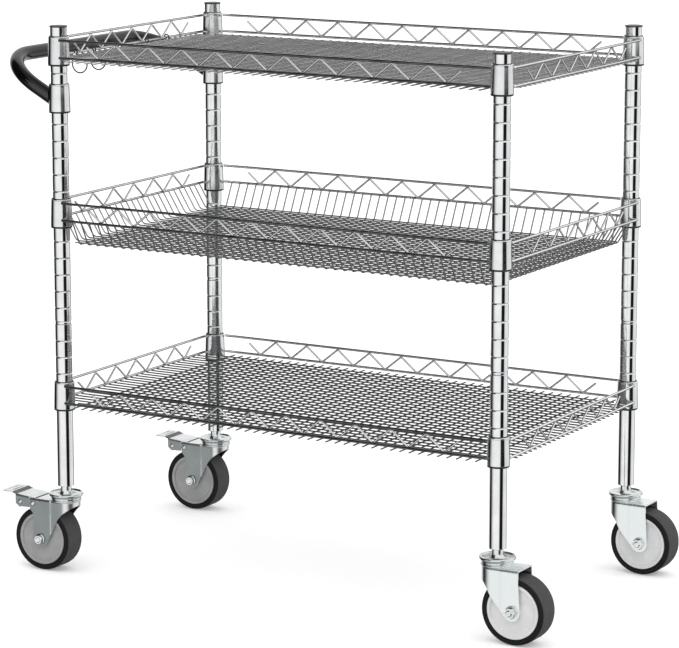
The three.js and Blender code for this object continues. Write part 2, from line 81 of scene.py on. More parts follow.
# Half the distance between the posts' axes
POST_X = (POST["front_right"][0] - POST["front_left"][0]) / 2
POST_Y = (POST["rear_left"][1] - POST["front_left"][1]) / 2
post_low, post_high = node_box("post_front_left")
POST_BASE, POST_TOP = post_low[2], post_high[2]
POST_RADIUS = (post_high[0] - post_low[0]) / 2
CAP_TOP = node_box("cap_front_left")[1][2]

# Lowest and highest Z of each tier's collars
COLLAR = {tier: [point[2] for point in node_box("shelf_frame_" + tier)] for tier in TIERS}
RAIL_RADIUS = 2.0
frame_high = node_box("shelf_frame_top")[1]
RAIL_X = frame_high[0] - CENTRE_X - RAIL_RADIUS
RAIL_Y = frame_high[1] - RAIL_RADIUS
# Rail axes below the collar's top
RAIL_DROP = {"upper": 4.9, "lower": 30.9}

AXLE_Z = node_middle("tyre_front_left")[2]
TRAIL = abs(node_middle("tyre_front_right")[0] - POST["front_right"][0])

BRACKET_HEIGHT = 41.0
BRACKET_BASE = node_box("handle_bracket_front")[0][2]
BRACKET_Z = BRACKET_BASE + BRACKET_HEIGHT / 2


def rail_z(tier, level):
    return COLLAR[tier][1] - RAIL_DROP[level]


# ------------------------------------------------------------------ geometry
# A part is a pair: vertices in millimetres, and faces as lists of vertex numbers.
def vector(*values):
    return np.array(values, float)


def unit(v):
    length = np.linalg.norm(v)
    return v / length if length > 1e-12 else v


def fillet(points, radius, steps=5, closed=False):
    """Replaces each corner of a line with an arc. radius is one value, or one per point."""
    points = [np.array(point, float) for point in points]
    count = len(points)
    radii = [radius] * count if np.isscalar(radius) else radius
    line = []
    for i, point in enumerate(points):
        if not closed and i in (0, count - 1):
            line.append(point)
            continue
        before = points[i - 1] - point
        after = points[(i + 1) % count] - point
        before_length, after_length = np.linalg.norm(before), np.linalg.norm(after)
        before, after = before / before_length, after / after_length
        half = acos(float(np.clip(before @ after, -1, 1))) / 2
        if half > pi / 2 - 1e-3 or radii[i] <= 0:
            line.append(point)
            continue
        # The arc may use up to nearly half of each neighbouring edge
        setback = min(radii[i] / tan(half), 0.49 * before_length, 0.49 * after_length)
        centre = point + unit(before + after) * (setback * tan(half) / sin(half))
        start = point + before * setback - centre
        end = point + after * setback - centre
        sweep = acos(float(np.clip(unit(start) @ unit(end), -1, 1)))
        for k in range(steps + 1):
            t = k / steps
            arc = (sin((1 - t) * sweep) * start + sin(t * sweep) * end) / sin(sweep)
            line.append(centre + arc)
    return line


def rounded(rows, steps, closed=True):
    """Filleted outline from rows of two coordinates and a corner radius."""
    return fillet([row[:2] for row in rows], [row[2] for row in rows], steps, closed)


def mirrored(half):
    """Adds the rows again in reverse order with the second column's sign changed."""
    return half + [(radius, -y, *rest) for radius, y, *rest in half[::-1]]


def lathe(profile, segments=48, at=(0, 0, 0), axis="z"):
    """Surface turned from (radius, height) pairs. A profile off the axis closes on itself."""
    on_axis = profile[0][0] < 1e-6 or profile[-1][0] < 1e-6
    verts, faces, rings = [], [], []
    for radius, z in profile:
        first = len(verts)
        if radius < 1e-6:
            rings.append([first])
            verts.append((0.0, 0.0, z))
        else:
            rings.append(list(range(first, first + segments)))
            angles = [2 * pi * k / segments for k in range(segments)]
            verts += [(radius * cos(a), radius * sin(a), z) for a in angles]
    count = len(profile)
    for i in range(count - 1 if on_axis else count):
        ring, other = rings[i], rings[(i + 1) % count]
        for k in range(segments):
            k2 = (k + 1) % segments
            corners = (ring[k % len(ring)], ring[k2 % len(ring)],
                       other[k2 % len(other)], other[k % len(other)])
            face = list(dict.fromkeys(corners))
            if len(face) > 2:
                faces.append(face)
    verts = np.array(verts, float)
    if axis == "y":
        verts = verts[:, [0, 2, 1]]
    return verts + np.array(at, float), faces


def cylinder(radius, start, end, segments, at=(0, 0, 0), axis="z"):
    profile = [(0, start), (radius, start), (radius, end), (0, end)]
    return lathe(profile, segments, at, axis)


def tube(points, radius, sides=12, round_ends=True):
    """Round wire swept along points, its end faces last in the face list."""
    path = [np.array(point, float) for point in points]
    radii = [radius] * len(path)
    if round_ends:
        start = unit(path[1] - path[0]) * (0.55 * radius)
        end = unit(path[-1] - path[-2]) * (0.55 * radius)
        path = ([path[0] + start * f for f in (0, 0.25, 1, 1.5)] + path[1:-1]
                + [path[-1] - end * f for f in (1.5, 1, 0.25, 0)])
        taper = [f * radius for f in (0.55, 0.86, 1, 1)]
        radii = taper + radii[1:-1] + taper[::-1]
    count = len(path)
    tangents = [unit(path[min(i + 1, count - 1)] - path[max(i - 1, 0)]) for i in range(count)]
    reference = vector(0, 0, 1) if abs(tangents[0][2]) < 0.9 else vector(1, 0, 0)
    normal = unit(np.cross(tangents[0], reference))
    verts, faces = [], []
    for point, tangent, ring_radius in zip(path, tangents, radii):
        normal = unit(normal - tangent * (normal @ tangent))
        binormal = np.cross(tangent, normal)
        for k in range(sides):
            angle = 2 * pi * k / sides
            verts.append(point + ring_radius * (cos(angle) * normal + sin(angle) * binormal))
    for i in range(count - 1):
        ring, other = i * sides, (i + 1) * sides
        for k in range(sides):
            k2 = (k + 1) % sides
            faces.append([ring + k, ring + k2, other + k2, other + k])
    faces.append(list(range(sides))[::-1])
    faces.append([(count - 1) * sides + k for k in range(sides)])
    return np.array(verts), faces


def hollow_tube(points, radius, bore, sides):
    """Tube with an open bore, closed into one body by a ring of faces at each end."""
    outer, outer_faces = tube(points, radius, sides, round_ends=False)
    inner, inner_faces = tube(points, bore, sides, round_ends=False)
    shift = len(outer)
    faces = outer_faces[:-2] + [[i + shift for i in face[::-1]] for face in inner_faces[:-2]]
    last = (len(points) - 1) * sides
    for k in range(sides):
        k2 = (k + 1) % sides
        faces.append([k2, k, shift + k, shift + k2])
        faces.append([last + k, last + k2, shift + last + k2, shift + last + k])
    return np.vstack([outer, inner]), faces


# Where X, Y and Z come from: the outline's columns are 0 and 1, the thickness is 2
PRISM_AXES = {"xz": [0, 2, 1], "xy": [0, 1, 2], "yz": [2, 0, 1]}


def prism(outline, start, end, plane="xz"):
    """Flat plate from an outline in the given plane, from start to end across it."""
    count = len(outline)
    verts = np.array([(*point, depth) for depth in (start, end) for point in outline], float)
    faces = [list(range(count)), list(range(count, 2 * count))[::-1]]
    for k in range(count):
        k2 = (k + 1) % count
        faces.append([k, count + k, count + k2, k2])
    return verts[:, PRISM_AXES[plane]], faces


def merged(parts):
    verts, faces, shift = [], [], 0
    for part_verts, part_faces in parts:
        verts.append(part_verts)
        faces += [[i + shift for i in face] for face in part_faces]
        shift += len(part_verts)
    return np.vstack(verts), faces


def moved(part, at, turn=0.0):
    """Turned about Z, then moved."""
    verts, faces = part
    x, y, z = verts.T
    c, s = cos(turn), sin(turn)
    return np.stack([c * x - s * y, s * x + c * y, z], 1) + np.array(at, float), faces


def add_object(name, data):
    ob = bpy.data.objects.new(name, data)
    SCENE.collection.objects.link(ob)
    return ob


def mesh_object(name, part):
    verts, faces = part
    mesh = bpy.data.meshes.new(name)
    mesh.from_pydata([tuple(point) for point in np.asarray(verts) * MM], [], faces)
    return add_object(name, mesh)


@contextmanager
def editing(mesh):
    bm = bmesh.new()
    bm.from_mesh(mesh)
    yield bm
    bm.to_mesh(mesh)
    bm.free()


def cut(ob, part):
    """Takes a closed solid out of ob's mesh."""
    tool = mesh_object("cutter", part)
    tool_mesh = tool.data
    with editing(tool_mesh) as bm:
        bmesh.ops.recalc_face_normals(bm, faces=bm.faces)
    modifier = ob.modifiers.new("cut", "BOOLEAN")
    modifier.operation = "DIFFERENCE"
    modifier.object = tool
    modifier.solver = "EXACT"
    bpy.context.view_layer.update()
    depsgraph = bpy.context.evaluated_depsgraph_get()
    result = bpy.data.meshes.new_from_object(ob.evaluated_get(depsgraph))
    ob.modifiers.remove(modifier)
    old = ob.data
    ob.data = result
    result.name = ob.name
    bpy.data.meshes.remove(old)
    bpy.data.objects.remove(tool)
    bpy.data.meshes.remove(tool_mesh)


def piece(name, part, material, slot, replaces=None, body="frame", angle=38.0, bevel=None,
          cutters=()):
    """One closed object on its body, cut, bevelled and smooth below angle (degrees)."""
    ob = mesh_object(name, part)
    with editing(ob.data) as bm:
        bmesh.ops.remove_doubles(bm, verts=bm.verts, dist=2e-7)
        bmesh.ops.recalc_face_normals(bm, faces=bm.faces)
    for cutter in cutters:
        cut(ob, cutter)
    mesh = ob.data
    if bevel:
        with editing(mesh) as bm:
            bmesh.ops.dissolve_limit(bm, angle_limit=radians(0.5), verts=bm.verts, edges=bm.edges)
            edges = [edge for edge in bm.edges
                     if len(edge.link_faces) == 2 and edge.calc_face_angle(0) > radians(30)]
            bmesh.ops.bevel(bm, geom=edges, offset=bevel * MM, segments=2, affect="EDGES",
                            clamp_overlap=True)
    for polygon in mesh.polygons:
        polygon.use_smooth = True
    mesh.set_sharp_from_angle(angle=radians(angle))
    mesh.materials.append(material)
    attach(ob, body)
    if replaces:
        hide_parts(replaces)
    return ob


# ------------------------------------------------------------------ shader helpers
class Graph:
    """Builds a node tree; most methods return the new node's output."""

    def __init__(self, tree):
        self.tree = tree

    def new(self, kind, **props):
        node = self.tree.nodes.new(kind)
        for key, value in props.items():
            setattr(node, key, value)
        return node

    def put(self, value, socket):
        if isinstance(value, bpy.types.NodeSocket):
            self.tree.links.new(value, socket)
        else:
            socket.default_value = value

    def math(self, operation, first, second=0.0):
        node = self.new("ShaderNodeMath", operation=operation)
        self.put(first, node.inputs[0])
        self.put(second, node.inputs[1])
        return node.outputs[0]

    def ramp(self, value, stops, interpolation="EASE"):
        """Grey ramp from (position, grey) stops."""
        node = self.new("ShaderNodeValToRGB")
        node.color_ramp.interpolation = interpolation
        elements = node.color_ramp.elements
        while len(elements) > 1:
            elements.remove(elements[-1])
        for i, (position, grey) in enumerate(stops):
            element = elements[0] if i == 0 else elements.new(position)
            element.position = position
            element.color = (grey, grey, grey, 1)
        self.put(value, node.inputs[0])
        return node.outputs[0]

    def mix(self, factor, first, second):
        """Colour mix of sockets or RGB tuples."""
        node = self.new("ShaderNodeMix", data_type="RGBA")
        for value, index in ((factor, 0), (first, 6), (second, 7)):
            self.put((*value, 1) if isinstance(value, tuple) else value, node.inputs[index])
        return node.outputs[2]

    def noise(self, coordinates, scale, detail, roughness=0.5):
        node = self.new("ShaderNodeTexNoise")
        node.inputs["Scale"].default_value = scale
        node.inputs["Detail"].default_value = detail
        node.inputs["Roughness"].default_value = roughness
        self.put(coordinates, node.inputs["Vector"])
        return node.outputs["Fac"]

    def stretch(self, coordinates, scale):
        node = self.new("ShaderNodeMapping")
        node.inputs["Scale"].default_value = scale
        self.put(coordinates, node.inputs["Vector"])
        return node.outputs[0]

    def separate(self, direction):
        node = self.new("ShaderNodeSeparateXYZ")
        self.put(direction, node.inputs[0])
        return node.outputs

    def remap(self, value, to, source=(0.0, 1.0)):
        node = self.new("ShaderNodeMapRange")
        node.inputs["From Min"].default_value, node.inputs["From Max"].default_value = source
        node.inputs["To Min"].default_value, node.inputs["To Max"].default_value = to
        self.put(value, node.inputs["Value"])
        return node.outputs[0]

    def shader(self, kind, colour):
        node = self.new(kind)
        self.put(colour, node.inputs[0])
        return node

    def mix_shader(self, factor, first, second):
        node = self.new("ShaderNodeMixShader")
        self.put(factor, node.inputs[0])
        self.put(first, node.inputs[1])
        self.put(second, node.inputs[2])
        return node.outputs[0]


def surface(name):
    """New material with its graph, its Principled inputs and its texture coordinates."""
    material = bpy.data.materials.new(name)
    material.use_nodes = True
    graph = Graph(material.node_tree)
    bsdf = next(node for node in graph.tree.nodes if node.type == "BSDF_PRINCIPLED")
    return material, graph, bsdf.inputs, graph.new("ShaderNodeTexCoord").outputs


def bump(graph, inputs, height, strength, distance):
    node = graph.new("ShaderNodeBump")
    node.inputs["Strength"].default_value = strength
    node.inputs["Distance"].default_value = distance
    graph.put(height, node.inputs["Height"])
    graph.put(node.outputs[0], inputs["Normal"])


NOISE_SPAN = (0.3, 0.7)              # the part of a noise's range that drives roughness


def metal(name, low, high, rough, grain=900.0, cloud=45.0, lines=None, depth=0.00002,
          strength=0.25, edge=None, flat=None):
    """Plated metal with a cloudy tone from low to high and fine polishing marks.

    rough is the roughness range, grain and cloud are noise scales, lines stretches the grain,
    depth (m) and strength set the bump. edge is (start, end, grey): facing values between
    which the outline turns grey, a painted shade on sides seen edge-on. flat is the colour
    painted as shade on faces square to Y.
    """
    material, graph, inputs, coords = surface(name)
    local = coords["Object"]
    clouds = graph.noise(local, scale=cloud, detail=4.0, roughness=0.55)
    grain_coords = graph.stretch(local, lines) if lines else local
    fine = graph.noise(grain_coords, scale=grain, detail=2.0, roughness=0.6)
    tone = graph.math("ADD", graph.math("MULTIPLY", clouds, 0.75),
                      graph.math("MULTIPLY", fine, 0.25))
    inputs["Metallic"].default_value = 1.0
    colour = graph.mix(graph.ramp(tone, [(0.34, 0.0), (0.66, 1.0)]), low, high)
    # Painted shade: the outline turns grey where the surface is seen edge-on
    if edge:
        start, end, grey = edge
        facing = graph.new("ShaderNodeLayerWeight").outputs["Facing"]
        colour = graph.mix(graph.ramp(facing, [(start, 0.0), (end, 1.0)]), colour, (grey,) * 3)
    # Painted shade: faces square to Y take the flat colour
    if flat:
        square = graph.math("ABSOLUTE", graph.separate(coords["Normal"])[1])
        colour = graph.mix(graph.ramp(square, [(0.90, 0.0), (0.985, 1.0)]), colour, flat)
    graph.put(colour, inputs["Base Color"])
    graph.put(graph.remap(tone, to=rough, source=NOISE_SPAN), inputs["Roughness"])
    bump(graph, inputs, fine, strength, depth)
    return material


def plastic(name, low, high, rough, grain=1400.0, cloud=60.0):
    """Moulded plastic; arguments as for metal."""
    material, graph, inputs, coords = surface(name)
    clouds = graph.noise(coords["Object"], scale=cloud, detail=4.0, roughness=0.6)
    fine = graph.noise(coords["Object"], scale=grain, detail=2.0)
    inputs["Metallic"].default_value = 0.0
    inputs["Specular IOR Level"].default_value = 0.5
    colour = graph.mix(graph.ramp(clouds, [(0.35, 0.0), (0.65, 1.0)]), low, high)
    graph.put(colour, inputs["Base Color"])
    graph.put(graph.remap(fine, to=rough, source=NOISE_SPAN), inputs["Roughness"])
    bump(graph, inputs, fine, strength=0.35, distance=0.00004)
    return material


def tyre_material():
    """Rubber: near-black sidewalls and a greyer tread painted lighter as lit, with fine grain."""
    material, graph, inputs, coords = surface("tyre_rubber")
    sideways = graph.math("ABSOLUTE", graph.separate(coords["Normal"])[1])
    tread = graph.ramp(sideways, [(0.30, 1.0), (0.62, 0.0)])
    clouds = graph.noise(coords["Object"], scale=70.0, detail=5.0, roughness=0.6)
    fine = graph.noise(coords["Object"], scale=1300.0, detail=2.0, roughness=0.6)
    # Painted light: the tread is greyer where light falls on it
    lit_tread_colour = graph.mix(clouds, (0.052, 0.052, 0.053), (0.085, 0.085, 0.086))
    wall = graph.mix(clouds, (0.006, 0.006, 0.006), (0.012, 0.012, 0.012))
    graph.put(graph.mix(tread, wall, lit_tread_colour), inputs["Base Color"])
    graph.put(graph.remap(tread, to=(0.42, 0.68)), inputs["Roughness"])
    inputs["Specular IOR Level"].default_value = 0.15
    height = graph.math("ADD", fine, graph.math("MULTIPLY", clouds, 0.5))
    bump(graph, inputs, height, strength=0.4, distance=0.00006)
    return material


def handle_material():
    """Deep black gloss with a little orange peel and fine wear."""
    material, graph, inputs, coords = surface("handle_gloss")
    peel = graph.noise(coords["Object"], scale=260.0, detail=2.0)
    dust = graph.noise(coords["Object"], scale=1500.0, detail=3.0, roughness=0.7)
    colour = graph.mix(graph.ramp(dust, [(0.5, 0.0), (0.8, 1.0)]),
                       (0.0012, 0.0012, 0.0014), (0.003, 0.003, 0.0034))
    graph.put(colour, inputs["Base Color"])
    inputs["IOR"].default_value = 1.5
    graph.put(graph.remap(dust, to=(0.10, 0.17)), inputs["Roughness"])
    bump(graph, inputs, peel, strength=0.12, distance=0.00006)
    return material


# ------------------------------------------------------------------ materials
# Grain drawn out along one axis
ALONG_X, ALONG_Y, ALONG_Z = (0.04, 1.0, 1.0), (1.0, 0.04, 1.0), (1.0, 1.0, 0.04)
RAIL_LOOK = dict(low=(0.74, 0.745, 0.75), high=(0.90, 0.905, 0.91), rough=(0.10, 0.18))


def mat_metals(name, **look):
    """Metals of the wires along X (rows) and along Y (cross)."""
    return [metal(f"chrome_{name}_{run}", grain=1000.0, lines=lines, **look)
            for run, lines in (("rows", ALONG_X), ("cross", ALONG_Y))]


CHROME_POST = metal("chrome_post", low=(0.80, 0.81, 0.82), high=(0.90, 0.905, 0.91),
                    rough=(0.05, 0.10), grain=700.0, lines=ALONG_Z)
CHROME_COLLAR = metal("chrome_collar", low=(0.76, 0.77, 0.78), high=(0.88, 0.885, 0.89),
                      rough=(0.07, 0.14), grain=800.0)
# The rails are one chrome in painted lit and shaded copies: the front rails dark as painted shade
# and reflection, the right end rails brightest as painted light, and the rear, left and right
# rails greyed at their outline as painted shade
CHROME_RAIL_FRONT = metal("chrome_rail_front", low=(0.10, 0.102, 0.105),
                          high=(0.22, 0.222, 0.225), rough=(0.12, 0.2), lines=ALONG_X)
CHROME_RAIL_REAR = metal("chrome_rail_rear", lines=ALONG_X, edge=(0.28, 0.5, 0.03), **RAIL_LOOK)
CHROME_RAIL_RIGHT = metal("chrome_rail_end", low=(0.88, 0.885, 0.89), high=(0.96, 0.965, 0.97),
                          rough=(0.10, 0.18), lines=ALONG_Y, edge=(0.52, 0.72, 0.01))
CHROME_RAIL_LEFT = metal("chrome_rail_left", lines=ALONG_Y, edge=(0.40, 0.62, 0.03), **RAIL_LOOK)
# Painted shade: the truss wires turn grey towards their outline
CHROME_TRUSS = metal("chrome_truss", low=(0.84, 0.845, 0.85), high=(0.94, 0.945, 0.95),
                     rough=(0.10, 0.18), edge=(0.44, 0.60, 0.004))
# One chrome mat wire in painted lit and shaded copies: the top tier bright as painted light, the
# middle and bottom tiers darker as painted shade, each greyed at the outline as painted shade
MAT_METALS = {
    "top": mat_metals("top", low=(0.82, 0.825, 0.83), high=(0.96, 0.965, 0.97),
                      rough=(0.10, 0.26), edge=(0.30, 0.62, 0.02)),
    "bottom": mat_metals("low", low=(0.22, 0.225, 0.23), high=(0.35, 0.355, 0.36),
                         rough=(0.12, 0.26), edge=(0.32, 0.64, 0.02)),
    "middle": mat_metals("mat", low=(0.30, 0.305, 0.31), high=(0.46, 0.465, 0.47),
                         rough=(0.12, 0.26), edge=(0.35, 0.7, 0.04)),
}
# Chrome hooks painted near black as a painted dark reflection
CHROME_HOOK = metal("chrome_hook", low=(0.03, 0.03, 0.032), high=(0.08, 0.08, 0.085),
                    rough=(0.12, 0.2), grain=1000.0)
ZINC_LOOK = dict(rough=(0.22, 0.34), grain=1100.0, cloud=38.0, depth=0.00004, strength=0.3)
# Lit and shaded copies of one zinc plating: the right casters painted brighter as painted light,
# the left darker with painted shade on faces square to Y
ZINC = {  # by the sign of X
    -1: metal("zinc_plate_left_painted_shade", low=(0.78, 0.80, 0.80), high=(0.90, 0.92, 0.92),
              flat=(0.31, 0.335, 0.335), **ZINC_LOOK),
    1: metal("zinc_plate_right_painted_light", low=(0.86, 0.92, 0.915), high=(0.95, 0.98, 0.98), **ZINC_LOOK),
}
ZINC_BRIGHT = metal("zinc_bright", low=(0.70, 0.735, 0.735), high=(0.86, 0.885, 0.885),
                    rough=(0.12, 0.22), grain=1100.0, cloud=50.0)
# Dark steel for the brake shoe; on the pedal's ramp it is a painted shadow on the riser
STEEL_DARK = metal("dark_steel_and_painted_shade", low=(0.10, 0.105, 0.11), high=(0.18, 0.185, 0.19),
                   rough=(0.3, 0.45))
SLEEVE = plastic("sleeve_black", low=(0.006,) * 3, high=(0.014,) * 3, rough=(0.4, 0.55))
CAP = plastic("cap_dark", low=(0.020, 0.020, 0.021), high=(0.036, 0.036, 0.037),
              rough=(0.34, 0.5))
HUB_LOOK = dict(rough=(0.4, 0.52), grain=900.0, cloud=34.0)
# Lit and shaded copies of one grey plastic: the left hubs painted darker as painted shade, the
# right lighter as painted light
HUB = {  # by the sign of X
    -1: plastic("hub_grey_left_painted_shade", low=(0.30,) * 3, high=(0.35,) * 3, **HUB_LOOK),
    1: plastic("hub_grey_right_painted_light", low=(0.66,) * 3, high=(0.73,) * 3, **HUB_LOOK),
}
# No piece wears this one; it is part of the material list
# Near black: painted shade for the inside of the hub's slot
plastic("hub_slot", low=(0.01,) * 3, high=(0.02,) * 3, rough=(0.5, 0.6))
TYRE = tyre_material()
HANDLE = handle_material()

# ------------------------------------------------------------------ posts
GROOVE_TOP, GROOVE_PITCH, GROOVE_COUNT = 767.0, 25.4, 19
GROOVES = [GROOVE_TOP - GROOVE_PITCH * k for k in range(GROOVE_COUNT)][::-1]
GROOVE_PROFILE = [  # height from the groove's middle, depth
    (-1.75, 0.0), (-1.35, 0.0), (-0.95, 0.10), (-0.55, 0.42), (0.0, 0.62),
    (0.55, 0.42), (0.95, 0.10), (1.35, 0.0), (1.75, 0.0),
]
JOINT_LOW, JOINT_HIGH = 386.5, 390.6   # gap between the two lengths of a post
BORE = 11.5                            # inner radius of the post
STUD_BORE, STUD_REACH = 8.0, 16        # the stud runs this far into each length


def post_part(base, top, base_chamfer, top_chamfer):
    profile = [(BORE, base), (POST_RADIUS - base_chamfer, base),
               (POST_RADIUS, base + base_chamfer), (POST_RADIUS, base + base_chamfer + 0.4)]
    for groove in GROOVES:
        if base + 3 < groove < top - 3:
            profile += [(POST_RADIUS - depth, groove + dz) for dz, depth in GROOVE_PROFILE]
    profile += [(POST_RADIUS, top - top_chamfer - 0.4), (POST_RADIUS, top - top_chamfer),
                (POST_RADIUS - top_chamfer, top), (BORE, top)]
    return lathe(profile, 56)


def stud_part():
    """Sleeve inside the joint, with a band that fills the gap."""
    fit, band = BORE - 0.15, POST_RADIUS - 0.55
    low, high = JOINT_LOW + 0.05, JOINT_HIGH - 0.05
    base, top = JOINT_LOW - STUD_REACH, JOINT_HIGH + STUD_REACH
    return lathe(fillet([(STUD_BORE, base), (fit, base), (fit, low), (band, low),
                         (band, high), (fit, high), (fit, top), (STUD_BORE, top)], 0.3, 2, True))


def cap_part():
    return lathe(rounded([  # radius, Z, corner radius
        (0, POST_TOP - 12, 0), (BORE - 0.6, POST_TOP - 12, 0.6), (BORE - 0.3, POST_TOP + 0.1, 0),
        (13.5, POST_TOP + 0.1, 0.3), (13.65, POST_TOP + 1.0, 0.6), (12.6, CAP_TOP - 0.05, 1.2),
        (9.0, CAP_TOP, 2), (0, CAP_TOP, 0),
    ], 4, closed=False), 56)


for corner, (x, y) in POST.items():
    upper = moved(post_part(JOINT_HIGH, POST_TOP, 0.7, 0.4), (x, y, 0))
    lower = moved(post_part(POST_BASE, JOINT_LOW, 0.6, 0.7), (x, y, 0))
    for level, part in (("upper", upper), ("lower", lower)):
        piece(f"post_{level}_{corner}", part, CHROME_POST, "chrome_post", "post_" + corner,
              angle=30)
    piece("post_stud_" + corner, moved(stud_part(), (x, y, 0)), CHROME_COLLAR, "chrome_post",
          angle=30)
    piece(f"cap_{corner}_moulded", moved(cap_part(), (x, y, 0)), CAP, "cap_plastic",
          "cap_" + corner)

# ------------------------------------------------------------------ collars and sleeves
COLLAR_TOP_RADIUS, COLLAR_BASE_RADIUS = 15.35, 16.6
LIP_RADIUS, SLEEVE_BORE = 16.2, 13.0
SLIT_HALF_WIDTH, SLIT_ANGLE = 0.35, 0.35


def collar_part(base, top, top_bore, base_bore):
    """Tapered ring with a small bead round its top."""
    height = top - base
    wide, narrow = COLLAR_BASE_RADIUS, COLLAR_TOP_RADIUS

    def taper(f):
        return wide + (narrow - wide) * f

    return lathe(rounded([  # radius, Z, corner radius
        (base_bore, base, 0.25), (wide - 0.1, base, 0.5), (wide, base + 1.2, 0.6),
        (taper(0.06), base + height * 0.06, 0), (taper(0.89), top - height * 0.11, 0),
        (narrow, top - 2.6, 0.4), (narrow + 0.25, top - 2.3, 0.25),
        (narrow + 0.25, top - 0.9, 0.5), (narrow - 0.4, top, 0.5), (top_bore, top, 0.25),
    ], 3), 64)


def sleeve_part(base, top, top_radius, base_radius, lip_height):
    """Tapered ring with a lip below the collar."""
    foot = base - 0.3
    return lathe(rounded([  # radius, Z, corner radius
        (SLEEVE_BORE, foot - lip_height, 0.2), (LIP_RADIUS - 0.4, foot - lip_height, 0.5),
        (LIP_RADIUS, foot - lip_height * 0.7, 0.3), (LIP_RADIUS, foot, 0.35),
        (base_radius, foot, 0.2), (top_radius, top, 0.35), (SLEEVE_BORE, top, 0.2),
    ], 3), 56)


def lip_slits(base, x, y, turn):
    """Cutters for the two gaps across the sleeve's lip."""
    box = prism([(12.6, -SLIT_HALF_WIDTH), (17.0, -SLIT_HALF_WIDTH), (17.0, SLIT_HALF_WIDTH),
                 (12.6, SLIT_HALF_WIDTH)], base - 4, base + 1.2, "xy")
    return [moved(box, (x, y, 0), angle + turn) for angle in (SLIT_ANGLE, SLIT_ANGLE + pi)]


for tier in TIERS:
    base, top = COLLAR[tier]
    for corner, (sign_x, _) in CORNERS.items():
        x, y = POST[corner]
        collar = collar_part(base, top, top_bore=14.4, base_bore=15.4)
        piece(f"collar_{tier}_{corner}", moved(collar, (x, y, 0)), CHROME_COLLAR, "chrome_wire",
              "shelf_frame_" + tier, angle=34)
        sleeve = sleeve_part(base, top + 0.8, top_radius=14.1, base_radius=15.1, lip_height=2.2)
        piece(f"sleeve_{tier}_{corner}_ring", moved(sleeve, (x, y, 0)), SLEEVE,
              "sleeve_plastic", f"sleeve_{tier}_{corner}", angle=34,
              cutters=lip_slits(base, x, y, turn=0 if sign_x > 0 else pi / 2))

# ------------------------------------------------------------------ rails and trusses
TRUSS_RADIUS = 1.6
TRUSS_INSET = 2.7                      # the zigzag wire sits just inside the rails
LONG = SimpleNamespace(half=POST_X, end_gap=10.5, pitch=58.1, valleys=11)
SHORT = SimpleNamespace(half=POST_Y, end_gap=7.5, pitch=56.4, valleys=6)
SIDES = {  # run, sign of the side's place, rail metal
    "front": (LONG, -1, CHROME_RAIL_FRONT),
    "rear": (LONG, 1, CHROME_RAIL_REAR),
    "left": (SHORT, -1, CHROME_RAIL_LEFT),
    "right": (SHORT, 1, CHROME_RAIL_RIGHT),
}


def zigzag(run, high, low):
    """(along, Z) line of the truss wire, cut off part of the way up its end slopes."""
    end_part = 0.74
    half = run.pitch / 2
    first = -run.pitch * (run.valleys - 1) / 2
    end_z = low + end_part * (high - low)
    points = [(first - end_part * half, end_z), (first, low)]
    for i in range(1, run.valleys):
        valley = first + i * run.pitch
        points += [(valley - half, high), (valley, low)]
    points.append((-first + end_part * half, end_z))
    return fillet(points, 3.4, 6)


def side_line(run, sign, line, inset=0.0):
    """Places an (along, Z) line on a side of the tier."""
    if run is LONG:
        return [(CENTRE_X + along, sign * (RAIL_Y - inset), z) for along, z in line]
    return [(CENTRE_X + sign * (RAIL_X - inset), along, z) for along, z in line]


for tier in TIERS:
    node = "shelf_frame_" + tier
    for side, (run, sign, rail_metal) in SIDES.items():
        end = run.half - run.end_gap
        for level in ("upper", "lower"):
            line = [(along, rail_z(tier, level))
                    for along in (-end, -run.half / 2, 0, run.half / 2, end)]
            piece(f"rail_{level}_{tier}_{side}",
                  tube(side_line(run, sign, line), RAIL_RADIUS, 16),
                  rail_metal, "chrome_wire", node)
        line = zigzag(run, high=rail_z(tier, "upper") - 1.7, low=rail_z(tier, "lower") + 0.9)
        piece(f"truss_{tier}_{side}",
              tube(side_line(run, sign, line, TRUSS_INSET), TRUSS_RADIUS, 14),
              CHROME_TRUSS, "chrome_wire", node)

# ------------------------------------------------------------------ mats and basket
WIRE_PITCH, WIRE_RADIUS, WIRE_SIDES = 15.24, 1.15, 10
ROW_Y = [s * (k + 0.5) * WIRE_PITCH for k in range(14) for s in (-1, 1)]
CROSS_X = [s * (k + 0.5) * WIRE_PITCH for k in range(23) for s in (-1, 1)]
mat_low, mat_high = node_box("shelf_mat_top")
MAT_X = (mat_high[0] - mat_low[0]) / 2
MAT_Y = (mat_high[1] - mat_low[1]) / 2
ROW_DROP = rail_z("top", "lower") - mat_high[2] + WIRE_RADIUS
CROSS_STEP = 2 * WIRE_RADIUS - 0.1     # cross wires under the rows, slightly sunk in
POST_CLEARANCE = 17.5                  # rows level with a post end this far from its axis
BASKET_DEPTH = 36.0
RIM_INSET = RAIL_RADIUS + WIRE_RADIUS - 0.3


def row_wires(z, bent=None):
    """Wires along X at height z, or along the line bent(y) where they clear the posts."""
    wires = []
    for y in ROW_Y:
        clear = abs(y) + WIRE_RADIUS < POST_Y - POST_CLEARANCE
        if clear and bent:
            line = bent(y)
        else:
            half = MAT_X if clear else POST_X - POST_CLEARANCE
            line = [(CENTRE_X + x, y, z) for x in (-half, 0, half)]
        wires.append(tube(line, WIRE_RADIUS, WIRE_SIDES))
    return merged(wires)


def cross_wires(line):
    """Wires along Y following a (Y, Z) line."""
    return merged([tube([(CENTRE_X + x, y, z) for y, z in line], WIRE_RADIUS, WIRE_SIDES)
                   for x in CROSS_X])


